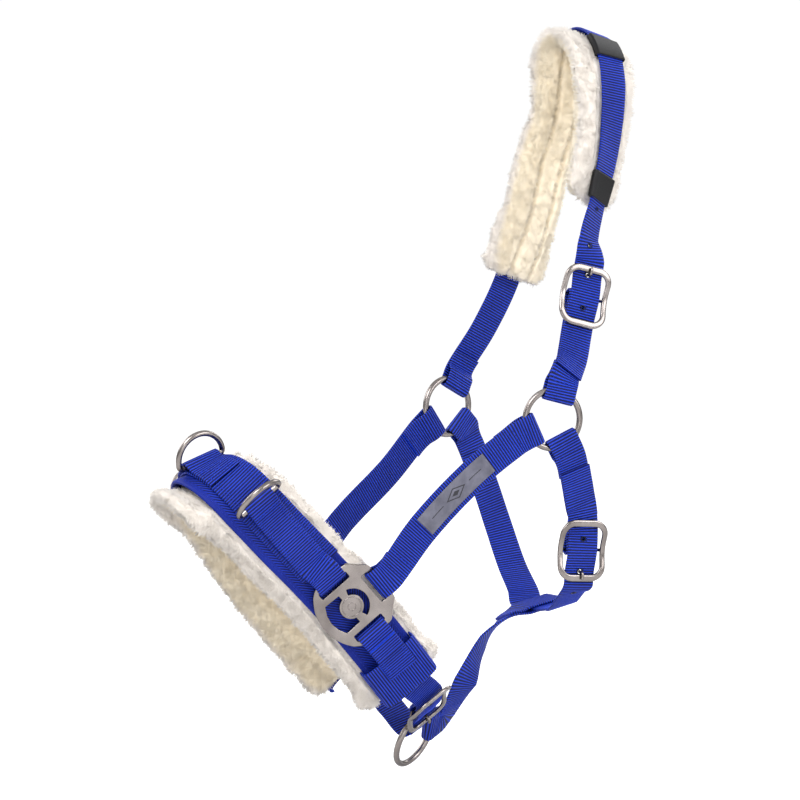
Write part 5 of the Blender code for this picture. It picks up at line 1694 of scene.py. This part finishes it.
def fleece(obstacles):
    noise.seed_set(SWIRL_SEED)
    near, off = NOSE_END[NEAR], NOSE_END[OFF]
    nose = nose_run(-off - 5 * MM, near + 8 * MM)
    depth = BASE_THICK + 1.1 * MM + LINING_THICK / 2
    rise = curl(BASE_WIDTH / 2 + 4 * MM, LINING_WIDTH / 2, LINING_CURL + 1.5 * MM)
    mesh = loft("noseband_lining_plush", nose, LINING_WIDTH / 2 + 1 * MM, LINING_THICK / 2 - 0.4 * MM, rise,
                LINING_SHIFT, depth, 10 * MM, bridge_lift)
    lining = place_object("noseband_lining_plush", mesh, FLEECE,
                          replaces=["noseband_lining"])
    swollen(lining, 5 * MM)
    plush(lining, nose, lining_limit, 9 * MM, (), LINING_SHIFT, 3)

    crown = [f for s, f in crown_run() if -222 * MM <= s <= 166 * MM]
    depth = WEB_THICK / 2 + KEEPER_THICK + 1.2 * MM + PAD_THICK / 2
    rise = curl(WEB_WIDTH / 2 + 4 * MM, PAD_WIDTH / 2, PAD_CURL)
    mesh = loft("poll_pad_plush", crown, PAD_WIDTH / 2 + 0.2 * MM, PAD_THICK / 2 - 0.4 * MM, rise,
                1.5 * MM, depth, 12 * MM)
    pad = place_object("poll_pad_plush", mesh, FLEECE, replaces=["poll_pad"])
    swollen(pad, 5 * MM)
    plush(pad, crown, pad_limit, 10 * MM, (-9.5 * MM, 9.5 * MM), 1.5 * MM, 7)

    grow_pile("noseband_pile", 5, 11, lining, nose, lining_limit, BASE_SHIFT, 25 * MM, obstacles)
    grow_pile("poll_pile", 3, 21, pad, crown, pad_limit, 0, 15 * MM, obstacles)


def grow_pile(name, parts, seed, pad, frames, limit, shift, covered, obstacles):
    """The pad's pile, as one piece for each equal part of its run."""
    count = int(TUFTS * (1))
    for i in range(parts):
        low, high = i / parts, (i + 1) / parts + 0.01 * (i == parts - 1)
        wanted, lay = pile_rules(frames, limit, shift, covered, low, high)
        pile(f"{name}_{i + 1}", pad, count, seed + i, wanted, lay, obstacles)


def pile_rules(frames, limit, shift, covered, low, high):
    """Where tufts grow between two shares of the run, thicker at its edges, and which way they lie."""
    total = resampled(frames, 2 * MM)[3][-1]

    def wanted(centres):
        v, h, s, _, _ = local_place(centres, frames)
        share = s / total
        hidden = (np.abs(v - shift) < covered - 1.0 * MM) & (h > limit(v, s) - 1.2 * MM)
        edge = 1 + 1.1 * (np.abs(v - shift) > covered - 1.5 * MM)
        return ((share >= low) & (share < high) & ~hidden) * edge

    def lay(roots):
        v, _, _, across, normal = local_place(roots, frames)
        rim = np.clip((np.abs(v - shift) - covered + 4 * MM) / (8 * MM), 0, 1)
        return across * (np.sign(v - shift) * rim * 0.55)[:, None] - normal * (rim * 0.1)[:, None]

    return wanted, lay

# ---------------------------------------------------------------- build


def build():
    nose_fabric()
    centre_ring()
    plates = {side: Plate(side) for side in WORDS}
    rings = {side: CheekRing(side) for side in WORDS}
    cheeks = {}
    for side, leave in ((NEAR, 205), (OFF, 217)):
        word = WORDS[side]
        side_plate(f"{word}_side_plate", plates[side])
        side_ring_strap(side, plates[side])
        wide_keeper(side)
        rear_strap(side, plates[side])
        round_ring(f"{word}_cheek_ring", rings[side].centre, rings[side].out)
        cheeks[side] = cheek_strap(side, rings[side], plates[side], leave)
    cheek_label(cheeks[NEAR])
    chin_billet(chin_tab())
    round_ring("chin_ring", CHIN_RING_CENTRE, CHIN_RING_AXIS)
    jaw_strap()
    throat_strap(rings[OFF], throat_tab(rings[NEAR]))
    crown_strap(rings[OFF], crown_tab(rings[NEAR]))
    spots = {"near_upper_keeper": 33, "off_upper_keeper": -33,
             "near_lower_keeper": 149, "off_lower_keeper": -204}
    for name, spot in spots.items():
        elastic_keeper(name, [f for s, f in crown_run() if abs(s - spot * MM) <= KEEPER_LENGTH / 2])
    for buckle in (CHIN_BUCKLE, THROAT_BUCKLE, CROWN_BUCKLE):
        buckle_frame(buckle)
        buckle_prong(buckle)
    sew()
    hole_rims()


def obstacle_tree():
    """The woven and steel pieces made so far, as one tree, for the pile to keep clear of."""
    points, faces = [], []
    for obj in bpy.context.scene.objects:
        if obj.type != "MESH" or not obj.name.endswith(("_woven", "_steel")):
            continue
        start = len(points)
        points += [tuple(v.co) for v in obj.data.vertices]
        faces += [tuple(start + i for i in p.vertices) for p in obj.data.polygons]
    return BVHTree.FromPolygons(points, faces)


build()
fleece(obstacle_tree())

# ---------------------------------------------------------------- floor, light and camera

TARGET = Vector((0, -0.170, -0.262))
CAMERA_WAY = Vector((math.sin(math.radians(60)) * math.cos(math.radians(4)),
                     -math.cos(math.radians(60)) * math.cos(math.radians(4)), math.sin(math.radians(4))))


def white_room():
    """A white backdrop whose light is softer from below."""
    world = bpy.data.worlds.new("studio")
    bpy.context.scene.world = world
    world.use_nodes = True
    tree = world.node_tree
    tree.nodes.clear()
    out = tree.nodes.new("ShaderNodeOutputWorld")
    seen = tree.nodes.new("ShaderNodeBackground")
    seen.inputs["Color"].default_value = (1, 1, 1, 1)
    seen.inputs["Strength"].default_value = 1.02
    lit = tree.nodes.new("ShaderNodeBackground")
    lit.inputs["Strength"].default_value = 0.82
    place = tree.nodes.new("ShaderNodeTexCoord")
    split = tree.nodes.new("ShaderNodeSeparateXYZ")
    ramp = tree.nodes.new("ShaderNodeValToRGB")
    ramp.color_ramp.elements[0].position, ramp.color_ramp.elements[0].color = 0.25, (0.40, 0.40, 0.42, 1)
    ramp.color_ramp.elements[1].position, ramp.color_ramp.elements[1].color = 0.85, (1, 1, 1, 1)
    half = tree.nodes.new("ShaderNodeMath")
    half.operation = "MULTIPLY_ADD"
    half.inputs[1].default_value = half.inputs[2].default_value = 0.5
    path = tree.nodes.new("ShaderNodeLightPath")
    mix = tree.nodes.new("ShaderNodeMixShader")
    link = tree.links.new
    link(place.outputs["Generated"], split.inputs[0])
    link(split.outputs["Z"], half.inputs[0])
    link(half.outputs[0], ramp.inputs[0])
    link(ramp.outputs[0], lit.inputs["Color"])
    link(path.outputs["Is Camera Ray"], mix.inputs[0])
    link(lit.outputs[0], mix.inputs[1])
    link(seen.outputs[0], mix.inputs[2])
    link(mix.outputs[0], out.inputs[0])


def softbox(name, place, watts, size=1.2):
    light = bpy.data.lights.new(name, "AREA")
    light.shape, light.size, light.size_y = "RECTANGLE", size, size
    light.energy = watts
    obj = helper(light, name)
    obj.location = place
    obj.rotation_euler = (TARGET - Vector(place)).to_track_quat("-Z", "Y").to_euler()


def floor():
    mesh = bpy.data.meshes.new("floor")
    reach, z = 60, cad_low[2] - 0.004
    corners = [(-reach, -reach, z), (reach, -reach, z), (reach, reach, z), (-reach, reach, z)]
    mesh.from_pydata(corners, [], [(0, 1, 2, 3)])
    obj = helper(mesh, "floor")
    n = Nodes("white_paper")
    for name, value in (("Base Color", (0.75, 0.75, 0.75, 1)), ("Emission Color", (1, 1, 1, 1))):
        n.shader.inputs[name].default_value = value
    seen = n.math("MULTIPLY", n.new("ShaderNodeLightPath").outputs["Is Camera Ray"], 0.45)
    n.link(seen, n.shader.inputs["Emission Strength"])
    mesh.materials.append(n.finish(roughness=0.9, Specular_IOR_Level=0.1))


white_room()
floor()
softbox("key", (1.2, -1.7, 1.5), 39)
softbox("fill", (1.9, 0.9, 0.5), 20)
softbox("far", (-1.6, -1.2, 0.8), 22)
softbox("front", TARGET + CAMERA_WAY * 2.4 + Vector((0.25, 0.1, -0.1)), 7, 1.1)
softbox("back", (-0.6, 1.9, 1.0), 20)

camera = helper(bpy.data.cameras.new("camera"), "camera")
camera.location = TARGET + CAMERA_WAY * 3.2
camera.rotation_euler = (-CAMERA_WAY).to_track_quat("-Z", "Y").to_euler()
camera.data.sensor_width = 36
camera.data.lens = 187.2
camera.data.clip_end = 100
bpy.context.scene.camera = camera
bpy.context.scene.view_settings.view_transform = "Standard"
